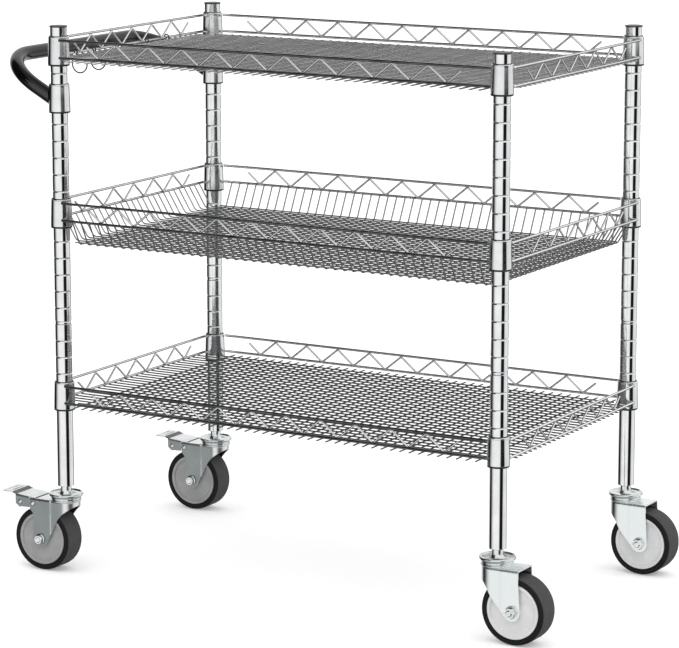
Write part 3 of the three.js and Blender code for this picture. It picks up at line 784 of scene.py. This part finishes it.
def basket_line(rim, floor_half, floor):
    """(along, Z) line from rim to rim: down to the basket's floor and up again."""
    rail = rail_z("middle", "lower")
    return rounded([  # along, Z, corner radius
        (-rim, rail + 0.6, 0), (-rim + 0.8, rail - 1.6, 1.2), (-floor_half, floor, 8),
        (0, floor, 0),
        (floor_half, floor, 8), (rim - 0.8, rail - 1.6, 1.2), (rim, rail + 0.6, 0),
    ], 6, closed=False)


for tier in ("top", "bottom"):
    row_metal, cross_metal = MAT_METALS[tier]
    row_z = rail_z(tier, "lower") - ROW_DROP
    cross_line = [(y, row_z - CROSS_STEP) for y in (-MAT_Y, 0, MAT_Y)]
    piece("mat_rows_" + tier, row_wires(row_z), row_metal, "chrome_mat", "shelf_mat_" + tier)
    piece("mat_cross_" + tier, cross_wires(cross_line), cross_metal, "chrome_mat",
          "shelf_mat_" + tier)

row_metal, cross_metal = MAT_METALS["middle"]
row_z = rail_z("middle", "lower") - BASKET_DEPTH
row_line = basket_line(RAIL_X - RIM_INSET, MAT_X - 28, row_z)
cross_line = basket_line(RAIL_Y - RIM_INSET, MAT_Y - 25, row_z - CROSS_STEP)
piece("basket_rows", row_wires(row_z, lambda y: [(CENTRE_X + x, y, z) for x, z in row_line]),
      row_metal, "chrome_mat", "basket_mat_middle")
piece("basket_cross", cross_wires(cross_line), cross_metal, "chrome_mat", "basket_mat_middle")

# ------------------------------------------------------------------ handle
# The arms rise towards -X from the left posts; distances run along the rising arm.
ARM_RISE = radians(28)
ARM_REACH, ARM_START = 112.0, -9.0
ARM_ROOT = 15.5                        # origin of the arm from the post's axis
HANDLE_BEND = 82.0
HANDLE_RADIUS, HANDLE_BORE = 11.0, 9.5
COPE_RADIUS = 17.0                     # the tube ends are coped to the bracket
ARM = vector(-cos(ARM_RISE), 0, sin(ARM_RISE))
ARM_ORIGIN = vector(POST["front_left"][0] - ARM_ROOT, 0, BRACKET_Z)


def on_arm(distance, y):
    return ARM_ORIGIN + ARM * distance + vector(0, y, 0)


def handle_line():
    line = [on_arm(ARM_START, -POST_Y), on_arm(ARM_START + 10, -POST_Y)]
    for i in range(25):
        angle = i / 24 * pi / 2
        line.append(on_arm(ARM_REACH - HANDLE_BEND * (1 - sin(angle)),
                           -POST_Y + HANDLE_BEND * (1 - cos(angle))))
    line += [on_arm(ARM_REACH, y) for y in (-90, -45, 0)]
    return line + [point * vector(1, -1, 1) for point in line[-2::-1]]


copes = [cylinder(COPE_RADIUS, BRACKET_Z - 60, BRACKET_Z + 60, 72, (*POST[corner], 0))
         for corner in ("front_left", "rear_left")]
grip = piece("handle_tube_gloss", hollow_tube(handle_line(), HANDLE_RADIUS, HANDLE_BORE, 40),
             HANDLE, "handle_gloss", "handle_tube", cutters=copes)

for side in ("front", "rear"):
    x, y = POST[side + "_left"]
    top = BRACKET_BASE + BRACKET_HEIGHT
    ring = collar_part(BRACKET_BASE, top, top_bore=13.1, base_bore=13.1)
    piece(f"bracket_{side}_collar", moved(ring, (x, y, 0)), CHROME_COLLAR, "chrome_post",
          "handle_bracket_" + side, angle=34)
    sleeve = sleeve_part(BRACKET_BASE, top + 0.6, top_radius=13.06, base_radius=13.06,
                         lip_height=2.0)
    piece(f"bracket_{side}_sleeve", moved(sleeve, (x, y, 0)), SLEEVE, "sleeve_plastic",
          angle=34)

# ------------------------------------------------------------------ hooks
HOOK_WIRE = 1.05
EYE_RADIUS, BOWL_RADIUS = 4.4, 13.4
BOWL_DROP = 17                         # bowl's centre below the rail


def hook_line(y):
    """Over the top tier's lower left rail, down, and round an open bowl."""
    rail_x, z = CENTRE_X - RAIL_X, rail_z("top", "lower")
    line = []
    for k in range(15):
        angle = radians(-35 + k * 215 / 14)
        line.append((rail_x + EYE_RADIUS * cos(angle), y, z + EYE_RADIUS * sin(angle)))
    bowl_x = rail_x - EYE_RADIUS + BOWL_RADIUS
    for k in range(1, 19):
        angle = radians(180 + k * 190 / 18)
        line.append((bowl_x + BOWL_RADIUS * cos(angle), y,
                     z - BOWL_DROP + BOWL_RADIUS * sin(angle)))
    return line


for i in range(1, 6):
    y = node_middle(f"hook_{i}")[1]
    piece(f"hook_{i}_wire", tube(hook_line(y), HOOK_WIRE), CHROME_HOOK, "chrome_wire",
          f"hook_{i}", body=f"hook_swing_body_{i}")

# ------------------------------------------------------------------ caster forks
# Casters are drawn with the swivel axis at the origin and the wheel trailing towards +X.
# The left ones, which carry a brake, are turned half round.
FORK_HALF, WALL, FORK_BEND = 22.7, 2.0, 3.4
BOSS_RADIUS = 13
FLAT_STEPS, ROUND_STEPS, ROW_STEPS, BEND_STEPS = 44, 30, 18, 5


def smooth_line(points):
    """Rounds a line off by cutting its corners four times."""
    line = [np.array(point, float) for point in points]
    for _ in range(4):
        cut_line = [line[0]]
        for a, b in zip(line[:-1], line[1:]):
            cut_line += [a * 0.75 + b * 0.25, a * 0.25 + b * 0.75]
        line = cut_line + [line[-1]]
    return np.array(line)


def resample(points, count):
    points = np.array(points, float)
    steps = np.linalg.norm(np.diff(points, axis=0), axis=1)
    distance = np.concatenate([[0], np.cumsum(steps)])
    even = np.linspace(0, distance[-1], count)
    return np.stack([np.interp(even, distance, column) for column in points.T], 1)


# step: how far the legs stand proud of the round head, reached over step_length
# swoop: (X, Z) of the lower edge, from the round head down to the axle boss
# boss_start: angle at which the edge joins the boss, degrees
# rear_points: bends in the leg's rear edge, which ends at X = rear_end
PLAIN_FORK = SimpleNamespace(
    top=110.5, step=0.25, step_length=6.0, boss_start=223,
    plate_end=43.5, rear_end=43.5, ear_steps=0, rear_points=[], rear_radii=0,
    swoop=smooth_line([(-23.4, 92.2), (-18, 90.9), (-8, 83.8), (1, 67.2), (12.5, 53.9),
                       (24.0, 40.8)]))
BRAKE_FORK = SimpleNamespace(
    top=112.5, step=0.95, step_length=3.6, boss_start=208,
    plate_end=41.0, rear_end=52.5, ear_steps=8,
    rear_points=[(46.4, 88.7), (52.5, 95)], rear_radii=[0, 4, 2, 0],
    swoop=smooth_line([(-23.4, 104.9), (-18.5, 101.8), (-10, 95.8), (-1, 87.7), (6.7, 75.2),
                       (14.4, 59.4), (22.05, 43.7)]))


def swoop_z(kind, x):
    return float(np.interp(x, kind.swoop[:, 0], kind.swoop[:, 1]))


def leg_y(kind, x):
    f = min(max((x - 13.0) / kind.step_length, 0.0), 1.0)
    return FORK_HALF - kind.step * (1 - f * f * (3 - 2 * f))


def levels(foot, top):
    return [foot + (top - foot) * j / ROW_STEPS for j in range(ROW_STEPS + 1)]


def leg_grid(kind, shoulder):
    """(X, Z) grid over the flat leg, blended from its four edges, and the top edge's X."""
    foot = swoop_z(kind, 0.0)
    boss = [(TRAIL + BOSS_RADIUS * cos(a), AXLE_Z + BOSS_RADIUS * sin(a))
            for a in np.linspace(radians(kind.boss_start), radians(360), 40)]
    swoop = [tuple(point) for point in kind.swoop if point[0] > 0.3]
    low = resample([(0.0, foot)] + swoop + boss, FLAT_STEPS + 1)
    rear = fillet([(TRAIL + BOSS_RADIUS, AXLE_Z), *kind.rear_points, (kind.rear_end, shoulder)],
                  kind.rear_radii, 4)
    rear = resample(rear, ROW_STEPS + 1)
    plate_steps = FLAT_STEPS - kind.ear_steps
    top_x = [kind.plate_end * i / plate_steps for i in range(plate_steps + 1)]
    top_x += [kind.plate_end + (kind.rear_end - kind.plate_end) * i / kind.ear_steps
              for i in range(1, kind.ear_steps + 1)]
    top = np.array([(x, shoulder) for x in top_x])
    front = np.array([(0.0, z) for z in levels(foot, shoulder)])
    grid = np.zeros((FLAT_STEPS + 1, ROW_STEPS + 1, 2))
    for i in range(FLAT_STEPS + 1):
        u = i / FLAT_STEPS
        for j in range(ROW_STEPS + 1):
            v = j / ROW_STEPS
            grid[i, j] = ((1 - v) * low[i] + v * top[i] + (1 - u) * front[j] + u * rear[j]
                          - ((1 - u) * (1 - v) * low[0] + u * (1 - v) * low[-1]
                             + (1 - u) * v * top[0] + u * v * top[-1]))
    return grid, top_x


def fork_columns(kind, shoulder):
    """Columns round the fork: (X, Y) by row, outward normal, Z by row, under the top plate."""
    grid, top_x = leg_grid(kind, shoulder)
    head = FORK_HALF - kind.step

    def leg_column(i, side):
        return ([(x, side * leg_y(kind, x)) for x in grid[i][:, 0]], (0, side),
                grid[i][:, 1], top_x[i] <= kind.plate_end + 1e-6)

    columns = [leg_column(i, -1) for i in range(FLAT_STEPS, -1, -1)]
    for k in range(1, ROUND_STEPS):
        angle = pi * k / ROUND_STEPS
        normal = (-sin(angle), -cos(angle))
        place = (head * normal[0], head * normal[1])
        foot = swoop_z(kind, place[0])
        columns.append(([place] * (ROW_STEPS + 1), normal, levels(foot, shoulder), True))
    return columns + [leg_column(i, 1) for i in range(FLAT_STEPS + 1)]


def fork_part(kind):
    """Pressed fork: two flat legs joined by a round head, folded over into a top plate."""
    shoulder = kind.top - FORK_BEND
    columns = fork_columns(kind, shoulder)
    verts = []
    for inset, bend in ((0.0, FORK_BEND), (WALL, FORK_BEND - WALL)):
        for places, normal, heights, _ in columns:
            for (x, y), z in zip(places, heights):
                verts.append((x - normal[0] * inset, y - normal[1] * inset, z))
            x, y = places[-1]
            for k in range(1, BEND_STEPS + 1):
                angle = k / BEND_STEPS * pi / 2
                depth = inset + bend * (1 - cos(angle))
                verts.append((x - normal[0] * depth, y - normal[1] * depth,
                              shoulder + bend * sin(angle)))
    rows = ROW_STEPS + 1 + BEND_STEPS
    count = len(columns)
    skin = count * rows                # from an outer vertex to its inner twin
    faces = []
    for c in range(count - 1):
        here, there = c * rows, (c + 1) * rows
        for j in range(rows - 1):
            face = [here + j, there + j, there + j + 1, here + j + 1]
            faces.append(face)
            faces.append([i + skin for i in face[::-1]])
        faces.append([here, here + skin, there + skin, there])         # lower edge
    for c in (0, count - 1):                                           # rear edges
        for j in range(rows - 1):
            i = c * rows + j
            faces.append([i, i + 1, i + 1 + skin, i + skin])
    under_plate = [c for c in range(count) if columns[c][3]]
    first, last = under_plate[0], under_plate[-1]
    top = [c * rows + rows - 1 for c in range(count)]
    plate = top[first:last + 1]
    faces.append(plate)
    faces.append([i + skin for i in plate[::-1]])
    faces.append([top[last], top[first], top[first] + skin, top[last] + skin])
    for c in list(range(first)) + list(range(last, count - 1)):        # tops of the ears
        faces.append([top[c], top[c + 1], top[c + 1] + skin, top[c] + skin])
    return np.array(verts), faces


# ------------------------------------------------------------------ turned caster parts
RACE = rounded([  # radius, Z, corner radius
    (6.2, 110.2, 0.2), (22.6, 110.2, 0.5), (23.9, 110.9, 1.0), (23.9, 112.6, 1.0),
    (22.4, 113.2, 0.5), (22.2, 113.8, 0.4), (23.3, 114.4, 0.9), (23.3, 116.6, 0.9),
    (22.2, 117.5, 0.5), (6.2, 117.5, 0.2),
], 4)
STEM = rounded([  # radius, Z, corner radius
    (0, 103.2, 0), (7.4, 103.2, 0.4), (8.0, 104.2, 0.5), (8.0, 105.6, 0.5), (7.0, 106.3, 0.4),
    (5.0, 106.3, 0.2), (5.0, 117.9, 0.2), (20.5, 117.9, 0.4), (24.4, 118.1, 1.2),
    (26.2, 119.2, 1.4), (26.6, 121.4, 1.2), (26.2, 122.9, 0.5), (25.2, 123.2, 0.6),
    (24.2, 122.4, 0.8), (22.6, 120.7, 2), (18.0, 119.9, 2), (13.0, 120.0, 1.5),
    (11.0, 120.9, 1.2), (9.6, 122.6, 1.2), (8.5, 125.4, 2), (8.2, 128.0, 1.5),
    (8.2, 133.6, 0.2), (7.9, 134.0, 0.1), (11.0, 134.25, 0.1), (11.0, 150.0, 0.3),
    (0, 150.0, 0),
], 3, closed=False)
HUB_PROFILE = rounded(mirrored([  # radius, Y, corner radius
    (5.6, 20.1, 0.2), (10.2, 20.1, 0.6), (11.6, 19.4, 0.8), (12.6, 17.9, 0.8),
    (15.0, 17.5, 1.0), (33.2, 17.0, 0.5), (34.6, 17.3, 0.6), (35.6, 19.0, 0.7),
    (36.8, 19.4, 0.5), (39.4, 19.4, 0.5), (40.35, 18.8, 0.3),
]), 3)
TYRE_PROFILE = fillet(mirrored([  # radius, Y
    (40.55, 17.6), (40.9, 18.9), (42.4, 19.3), (45.4, 19.6), (47.2, 19.3), (48.5, 18.3),
    (49.25, 16.6), (49.47, 14.0), (49.5, 7.0),
]), 1.2, 2, True)
THREAD_STARTS = (-30.4, -29.5)
BOLT_PROFILE = [  # radius, Y: thread end, two thread ridges, shank, head
    (0, -31.4), (3.6, -31.4), (4.5, -30.6),
    *[(radius, start + dy) for start in THREAD_STARTS
      for radius, dy in ((4.5, 0), (4.9, 0.3), (4.9, 0.5), (4.5, 0.8))],
    (4.9, -28.2), (4.9, 23.0), (8.0, 23.0), (8.5, 23.5), (8.3, 24.6), (7.2, 25.2), (7.0, 26.0),
    (7.0, 28.8), (6.3, 29.8), (4.6, 29.95), (4.2, 29.8), (3.6, 29.2), (0, 29.0),
]
PIN_PROFILE = mirrored([  # radius, Y
    (0, -24.6), (2.0, -24.6), (3.4, -24.1), (3.8, -23.2), (3.8, -22.95), (2.5, -22.95)])
RIVET_PROFILE = mirrored([  # radius, Y
    (0, -24.4), (1.8, -24.4), (3.1, -23.9), (3.5, -23.0), (3.5, -22.75), (2.2, -22.75)])
AXLE = (TRAIL, 0, AXLE_Z)
PEDAL_PIN = (47.0, 0, 104.0)
PEDAL_RIVET = (70.5, 0, 104.0)
WASHER_FACE = FORK_HALF + 0.05
WASHER_THICK = 1.0
NUT_RADIUS, NUT_HEIGHT = 8.6, 5.9


def washer_part():
    inner, outer = -WASHER_FACE, -WASHER_FACE - WASHER_THICK
    profile = fillet([(5.3, outer), (9.6, outer), (9.6, inner), (5.3, inner)], 0.3, 2, True)
    return lathe(profile, 48, AXLE, "y")


def nut_part():
    """Hexagonal nut on the -Y side; its outer face is turned down to a circle."""
    count = 48
    start = WASHER_FACE + WASHER_THICK
    end = start + NUT_HEIGHT
    apothem = NUT_RADIUS * cos(pi / 6)
    verts, faces = [], []
    for depth, is_hex in ((start, True), (end - 0.55, True), (end, False)):
        for i in range(count):
            angle = 2 * pi * i / count
            radius = apothem / cos(angle % (pi / 3) - pi / 6) if is_hex else apothem
            verts.append((radius * cos(angle), -depth, radius * sin(angle)))
    for j in (0, count):
        for i in range(count):
            i2 = (i + 1) % count
            faces.append([j + i, j + i2, j + count + i2, j + count + i])
    faces.append(list(range(count))[::-1])
    faces.append([2 * count + i for i in range(count)])
    return np.array(verts) + AXLE, faces


# ------------------------------------------------------------------ brake pedal
CHANNEL_START, CHANNEL_END, CHANNEL_RISE = 54.4, 79.0, 2.1
CHANNEL_TOP, CHANNEL_WALL = 113.9, 2.05
NECK_HALF = FORK_HALF - WALL - 0.5
TREAD_BASE, TREAD_TOP = 116.35, 118.5
SLOT_X, SLOT_HALF_WIDTH, SLOT_HALF_LENGTH = (90.0, 98.6), 1.5, 13
NECK_OUTLINE = rounded([  # X, Z, corner radius
    (44, 100.6, 4), (57.4, 100.6, 0.5), (57.4, 112.0, 0.5), (44, 111.0, 2.5)], 5)
NECK_TOP_OUTLINE = [(44.0, 111.0), (56.5, 112.05), (56.5, 114.0), (44.0, 112.95)]   # X, Z
CHANNEL_FOOT = prism([  # X, Z of what is cut from under the channel
    (50, 80), (86, 80), (86, 106), (79.0, 101.0), (72.0, 95.9), (71.0, 95.6), (69.0, 96.6),
    (54.4, 97.2), (50, 97.2)], -40, 40)
RAMP_OUTLINE = rounded([  # X, Z, corner radius
    (76.5, 113.7, 0), (79.2, 114.1, 0.6), (85.3, 116.35, 0.4), (86.0, 116.4, 0),
    (86.0, 118.45, 0), (84.7, 118.5, 0.8), (78.8, 116.15, 1.0), (76.5, 115.9, 0)], 3)
SHOE_OUTLINE = rounded([  # X, Z, corner radius
    (50.2, 99.6, 0.8), (57.6, 98.9, 0.8), (58.0, 112.0, 0.3), (50.2, 111.6, 0.3)], 4)


def channel_part():
    """Channel open below, its far end slightly higher."""
    inner, inner_top = FORK_HALF - CHANNEL_WALL, CHANNEL_TOP - 2.0
    outline = rounded([  # Y, Z, corner radius
        (-FORK_HALF, 90, 0), (-FORK_HALF, CHANNEL_TOP, 3.0), (FORK_HALF, CHANNEL_TOP, 3.0),
        (FORK_HALF, 90, 0), (inner, 90, 0), (inner, inner_top, 1.1), (-inner, inner_top, 1.1),
        (-inner, 90, 0)], 6)
    verts, faces = prism(outline, CHANNEL_START, CHANNEL_END, "yz")
    verts[len(outline):, 2] += CHANNEL_RISE
    return verts, faces


def tread_part():
    side = FORK_HALF - 0.8
    outline = rounded([  # X, Y, corner radius
        (84.6, -side, 0), (102.0, -side, 2), (105.0, -FORK_HALF + 4, 2),
        (105.0, FORK_HALF - 4, 2), (102.0, side, 2), (84.6, side, 0)], 4)
    return prism(outline, TREAD_BASE, TREAD_TOP, "xy")


def tread_slot(x):
    near, far, end = x - SLOT_HALF_WIDTH, x + SLOT_HALF_WIDTH, SLOT_HALF_LENGTH
    outline = fillet([(near, -end), (far, -end), (far, end), (near, end)], 1.45, 4, True)
    return prism(outline, 112, 122, "xy")


def build_pedal(corner, put, place):
    """Brake lever. put moves a part to its post; place does so for a mesh cut at the origin."""
    def add(name, part, material=ZINC_BRIGHT, replaces="brake_pedal_" + corner, angle=34,
            **options):
        return piece(f"pedal_{name}_{corner}", part, material, "zinc", replaces,
                     body="pedal_" + corner, angle=angle, **options)

    for name, side in (("neck_1", -1), ("neck_2", 1)):
        wall = prism(NECK_OUTLINE, side * NECK_HALF, side * (NECK_HALF - 2.0))
        add(name, put(wall), bevel=0.35)
    add("web_1", put(prism(NECK_TOP_OUTLINE, -NECK_HALF, NECK_HALF)), bevel=0.3)
    channel = add("channel", channel_part(), ZINC[-1], cutters=[CHANNEL_FOOT])
    channel.data.transform(place)
    # The ramp is painted dark as the shadow across the riser
    add("ramp", put(prism(RAMP_OUTLINE, -FORK_HALF + 1.6, FORK_HALF - 1.6)), STEEL_DARK)
    tread = add("tread", tread_part(), bevel=0.35, cutters=[tread_slot(x) for x in SLOT_X])
    tread.data.transform(place)
    add("shoe", put(prism(SHOE_OUTLINE, -13.5, 13.5)), STEEL_DARK, replaces=None, bevel=0.5)
    for name, profile, at in (("pin", PIN_PROFILE, PEDAL_PIN),
                              ("rivet", RIVET_PROFILE, PEDAL_RIVET)):
        add(name, put(lathe(profile, 36, at, "y")), replaces=None, angle=50)


# ------------------------------------------------------------------ casters
def build_caster(corner, sign_x):
    x, y = POST[corner]
    braked = sign_x < 0
    turn = pi if braked else 0.0
    swivel = "swivel_" + corner
    wheel = "wheel_" + corner
    place = Matrix.Translation((x / 1000, y / 1000, 0)) @ Matrix.Rotation(turn, 4, "Z")

    def put(part):
        return moved(part, (x, y, 0), turn)

    piece("caster_top_" + corner, put(lathe(STEM, 72)), ZINC_BRIGHT, "zinc",
          "caster_stem_" + corner, angle=36)
    piece("caster_race_" + corner, put(lathe(RACE, 72)), ZINC_BRIGHT, "zinc", body=swivel,
          angle=36)
    holes = [cylinder(5.4, -30, 30, 40, AXLE, "y"), cylinder(5.6, 100, 112, 40)]
    if braked:
        holes.append(cylinder(2.9, -30, 30, 24, PEDAL_PIN, "y"))
    fork = piece("fork_" + corner, fork_part(BRAKE_FORK if braked else PLAIN_FORK),
                 ZINC[sign_x], "zinc", "caster_fork_" + corner, body=swivel, angle=30,
                 cutters=holes)
    fork.data.transform(place)
    piece("hub_" + corner, put(lathe(HUB_PROFILE, 96, AXLE, "y")), HUB[sign_x], "hub_plastic",
          "wheel_hub_" + corner, body=wheel, angle=36)
    piece("tread_" + corner, put(lathe(TYRE_PROFILE, 128, AXLE, "y")), TYRE, "tyre_rubber",
          "tyre_" + corner, body=wheel, angle=44)
    # Washer and nut on the -Y side before turning, bolt head on the +Y side
    piece("axle_" + corner, put(lathe(BOLT_PROFILE, 48, AXLE, "y")), ZINC_BRIGHT, "zinc",
          "axle_bolt_" + corner, body=swivel, angle=34)
    piece("washer_" + corner, put(washer_part()), ZINC_BRIGHT, "zinc", body=swivel, angle=34)
    piece("nut_" + corner, put(nut_part()), ZINC_BRIGHT, "zinc", "axle_nut_" + corner,
          body=swivel, angle=20, bevel=0.25)
    if braked:
        build_pedal(corner, put, place)


for corner, (sign_x, _) in CORNERS.items():
    build_caster(corner, sign_x)

# ------------------------------------------------------------------ studio
WHITE = (1, 1, 1, 1)
# Below the horizon: compass angle from -Y towards +X in degrees, brightness
HORIZON = [
    (-180, 0.80), (-150, 0.85), (-112, 0.85), (-103, 0.01), (-70, 0.01), (-57, 0.38),
    (-38, 0.9), (-18, 1.0), (20, 1.0), (42, 0.95), (51, 0.01), (86, 0.01), (95, 0.8),
    (140, 0.9), (158, 0.85), (166, 0.03), (174, 0.03), (179.5, 0.80),
]


def half_range(graph, value):
    """Maps -1..1 to 0..1."""
    return graph.math("ADD", graph.math("MULTIPLY", value, 0.5), 0.5)


def studio(graph, direction):
    """Brightness that metal mirrors from a direction: a white room with dark flags."""
    dx, dy, dz = graph.separate(direction)
    compass = graph.math("ARCTAN2", dx, graph.math("MULTIPLY", dy, -1.0))
    compass = graph.math("ADD", graph.math("DIVIDE", compass, 2 * pi), 0.5)
    low = graph.ramp(compass, [(angle / 360.0 + 0.5, grey) for angle, grey in HORIZON], "LINEAR")
    # Above the horizon: dark towards -X, bright towards +X and +Y, grey overhead
    left = graph.ramp(half_range(graph, dx), [(0.0, 0.02), (0.30, 0.03), (0.42, 0.9), (1.0, 1.0)])
    back = graph.ramp(half_range(graph, dy), [(0.62, 0.0), (0.72, 1.0)])
    high = graph.mix(back, left, (0.92, 0.92, 0.92))
    overhead = graph.ramp(dz, [(0.80, 0.0), (0.97, 1.0)])
    high = graph.mix(overhead, high, (0.35, 0.35, 0.35))
    height = half_range(graph, dz)
    above = graph.ramp(height, [(0.485, 0.0), (0.515, 1.0)])
    steep = graph.ramp(height, [(0.12, 1.0), (0.30, 0.0)])
    return graph.mix(above, graph.mix(steep, low, (0.28, 0.28, 0.28)), high)


def empty_graph(owner):
    owner.use_nodes = True
    owner.node_tree.nodes.clear()
    return Graph(owner.node_tree)


def build_world():
    """White to the camera, the studio to glossy rays and even white light otherwise."""
    world = bpy.data.worlds.new("studio")
    SCENE.world = world
    graph = empty_graph(world)
    room = studio(graph, graph.new("ShaderNodeTexCoord").outputs["Generated"])
    rays = graph.new("ShaderNodeLightPath").outputs
    seen = graph.shader("ShaderNodeBackground", WHITE).outputs[0]
    mirrored_room = graph.shader("ShaderNodeBackground", room).outputs[0]
    ambient = graph.shader("ShaderNodeBackground", WHITE).outputs[0]
    lighting = graph.mix_shader(rays["Is Glossy Ray"], ambient, mirrored_room)
    result = graph.mix_shader(rays["Is Camera Ray"], lighting, seen)
    graph.put(result, graph.new("ShaderNodeOutputWorld").inputs[0])


def floor_material():
    """Pale floor, lifted a little for the camera; glossy rays see the studio instead."""
    material = bpy.data.materials.new("floor_pale")
    graph = empty_graph(material)
    incoming = graph.new("ShaderNodeNewGeometry").outputs["Incoming"]
    outward = graph.new("ShaderNodeVectorMath", operation="SCALE")
    outward.inputs["Scale"].default_value = -1.0
    graph.put(incoming, outward.inputs[0])
    room = studio(graph, outward.outputs[0])
    local = graph.new("ShaderNodeTexCoord").outputs["Object"]
    speck = graph.noise(local, scale=6.0, detail=4.0)
    pale = graph.mix(speck, (0.90, 0.90, 0.90), (0.93, 0.93, 0.93))
    diffuse = graph.shader("ShaderNodeBsdfDiffuse", pale).outputs[0]
    mirrored_room = graph.shader("ShaderNodeEmission", room).outputs[0]
    rays = graph.new("ShaderNodeLightPath").outputs
    lift = graph.shader("ShaderNodeEmission", WHITE)
    graph.put(graph.math("MULTIPLY", rays["Is Camera Ray"], 0.24), lift.inputs[1])
    lifted = graph.new("ShaderNodeAddShader")
    graph.put(diffuse, lifted.inputs[0])
    graph.put(lift.outputs[0], lifted.inputs[1])
    result = graph.mix_shader(rays["Is Glossy Ray"], lifted.outputs[0], mirrored_room)
    graph.put(result, graph.new("ShaderNodeOutputMaterial").inputs[0])
    return material


def build_floor():
    half, z = 60000.0, -0.6
    square = [(-half, -half, z), (half, -half, z), (half, half, z), (-half, half, z)]
    floor = mesh_object("floor", (square, [(0, 1, 2, 3)]))
    floor.data.materials.append(floor_material())


def build_sun():
    light = bpy.data.lights.new("soft_sun", "SUN")
    light.energy = 0.55
    light.angle = radians(70)
    sun = add_object("soft_sun", light)
    sun.rotation_euler = (radians(18), radians(14), 0)
    sun.visible_glossy = False


def build_softbox():
    """A soft box that lights and shows in the handle tube only."""
    place, target = Vector((-1.08, -2.55, 1.30)), Vector((-0.42, -0.1, 0.75))
    light = bpy.data.lights.new("tube_softbox", "AREA")
    light.shape = "RECTANGLE"
    light.size = light.size_y = 1.9
    light.energy = 14.0
    box = add_object("tube_softbox", light)
    box.location = place
    box.rotation_euler = (target - place).to_track_quat("-Z", "Y").to_euler()
    box.visible_glossy = True
    box.visible_camera = False
    receivers = bpy.data.collections.new("tube_only")
    receivers.objects.link(grip)
    box.light_linking.receiver_collection = receivers


def build_camera():
    lens = bpy.data.cameras.new("camera")
    lens.lens = 168.12
    lens.sensor_width = 36.0
    lens.sensor_fit = "HORIZONTAL"
    lens.clip_end = 200.0
    camera = add_object("camera", lens)
    camera.location = (2.34164 + CENTRE_X / 1000, -4.09719, 1.30810)
    camera.rotation_euler = (radians(78.9288), 0.0, radians(29.8705))
    SCENE.camera = camera


build_world()
build_floor()
build_sun()
build_softbox()
build_camera()
SCENE.view_settings.view_transform = "Standard"
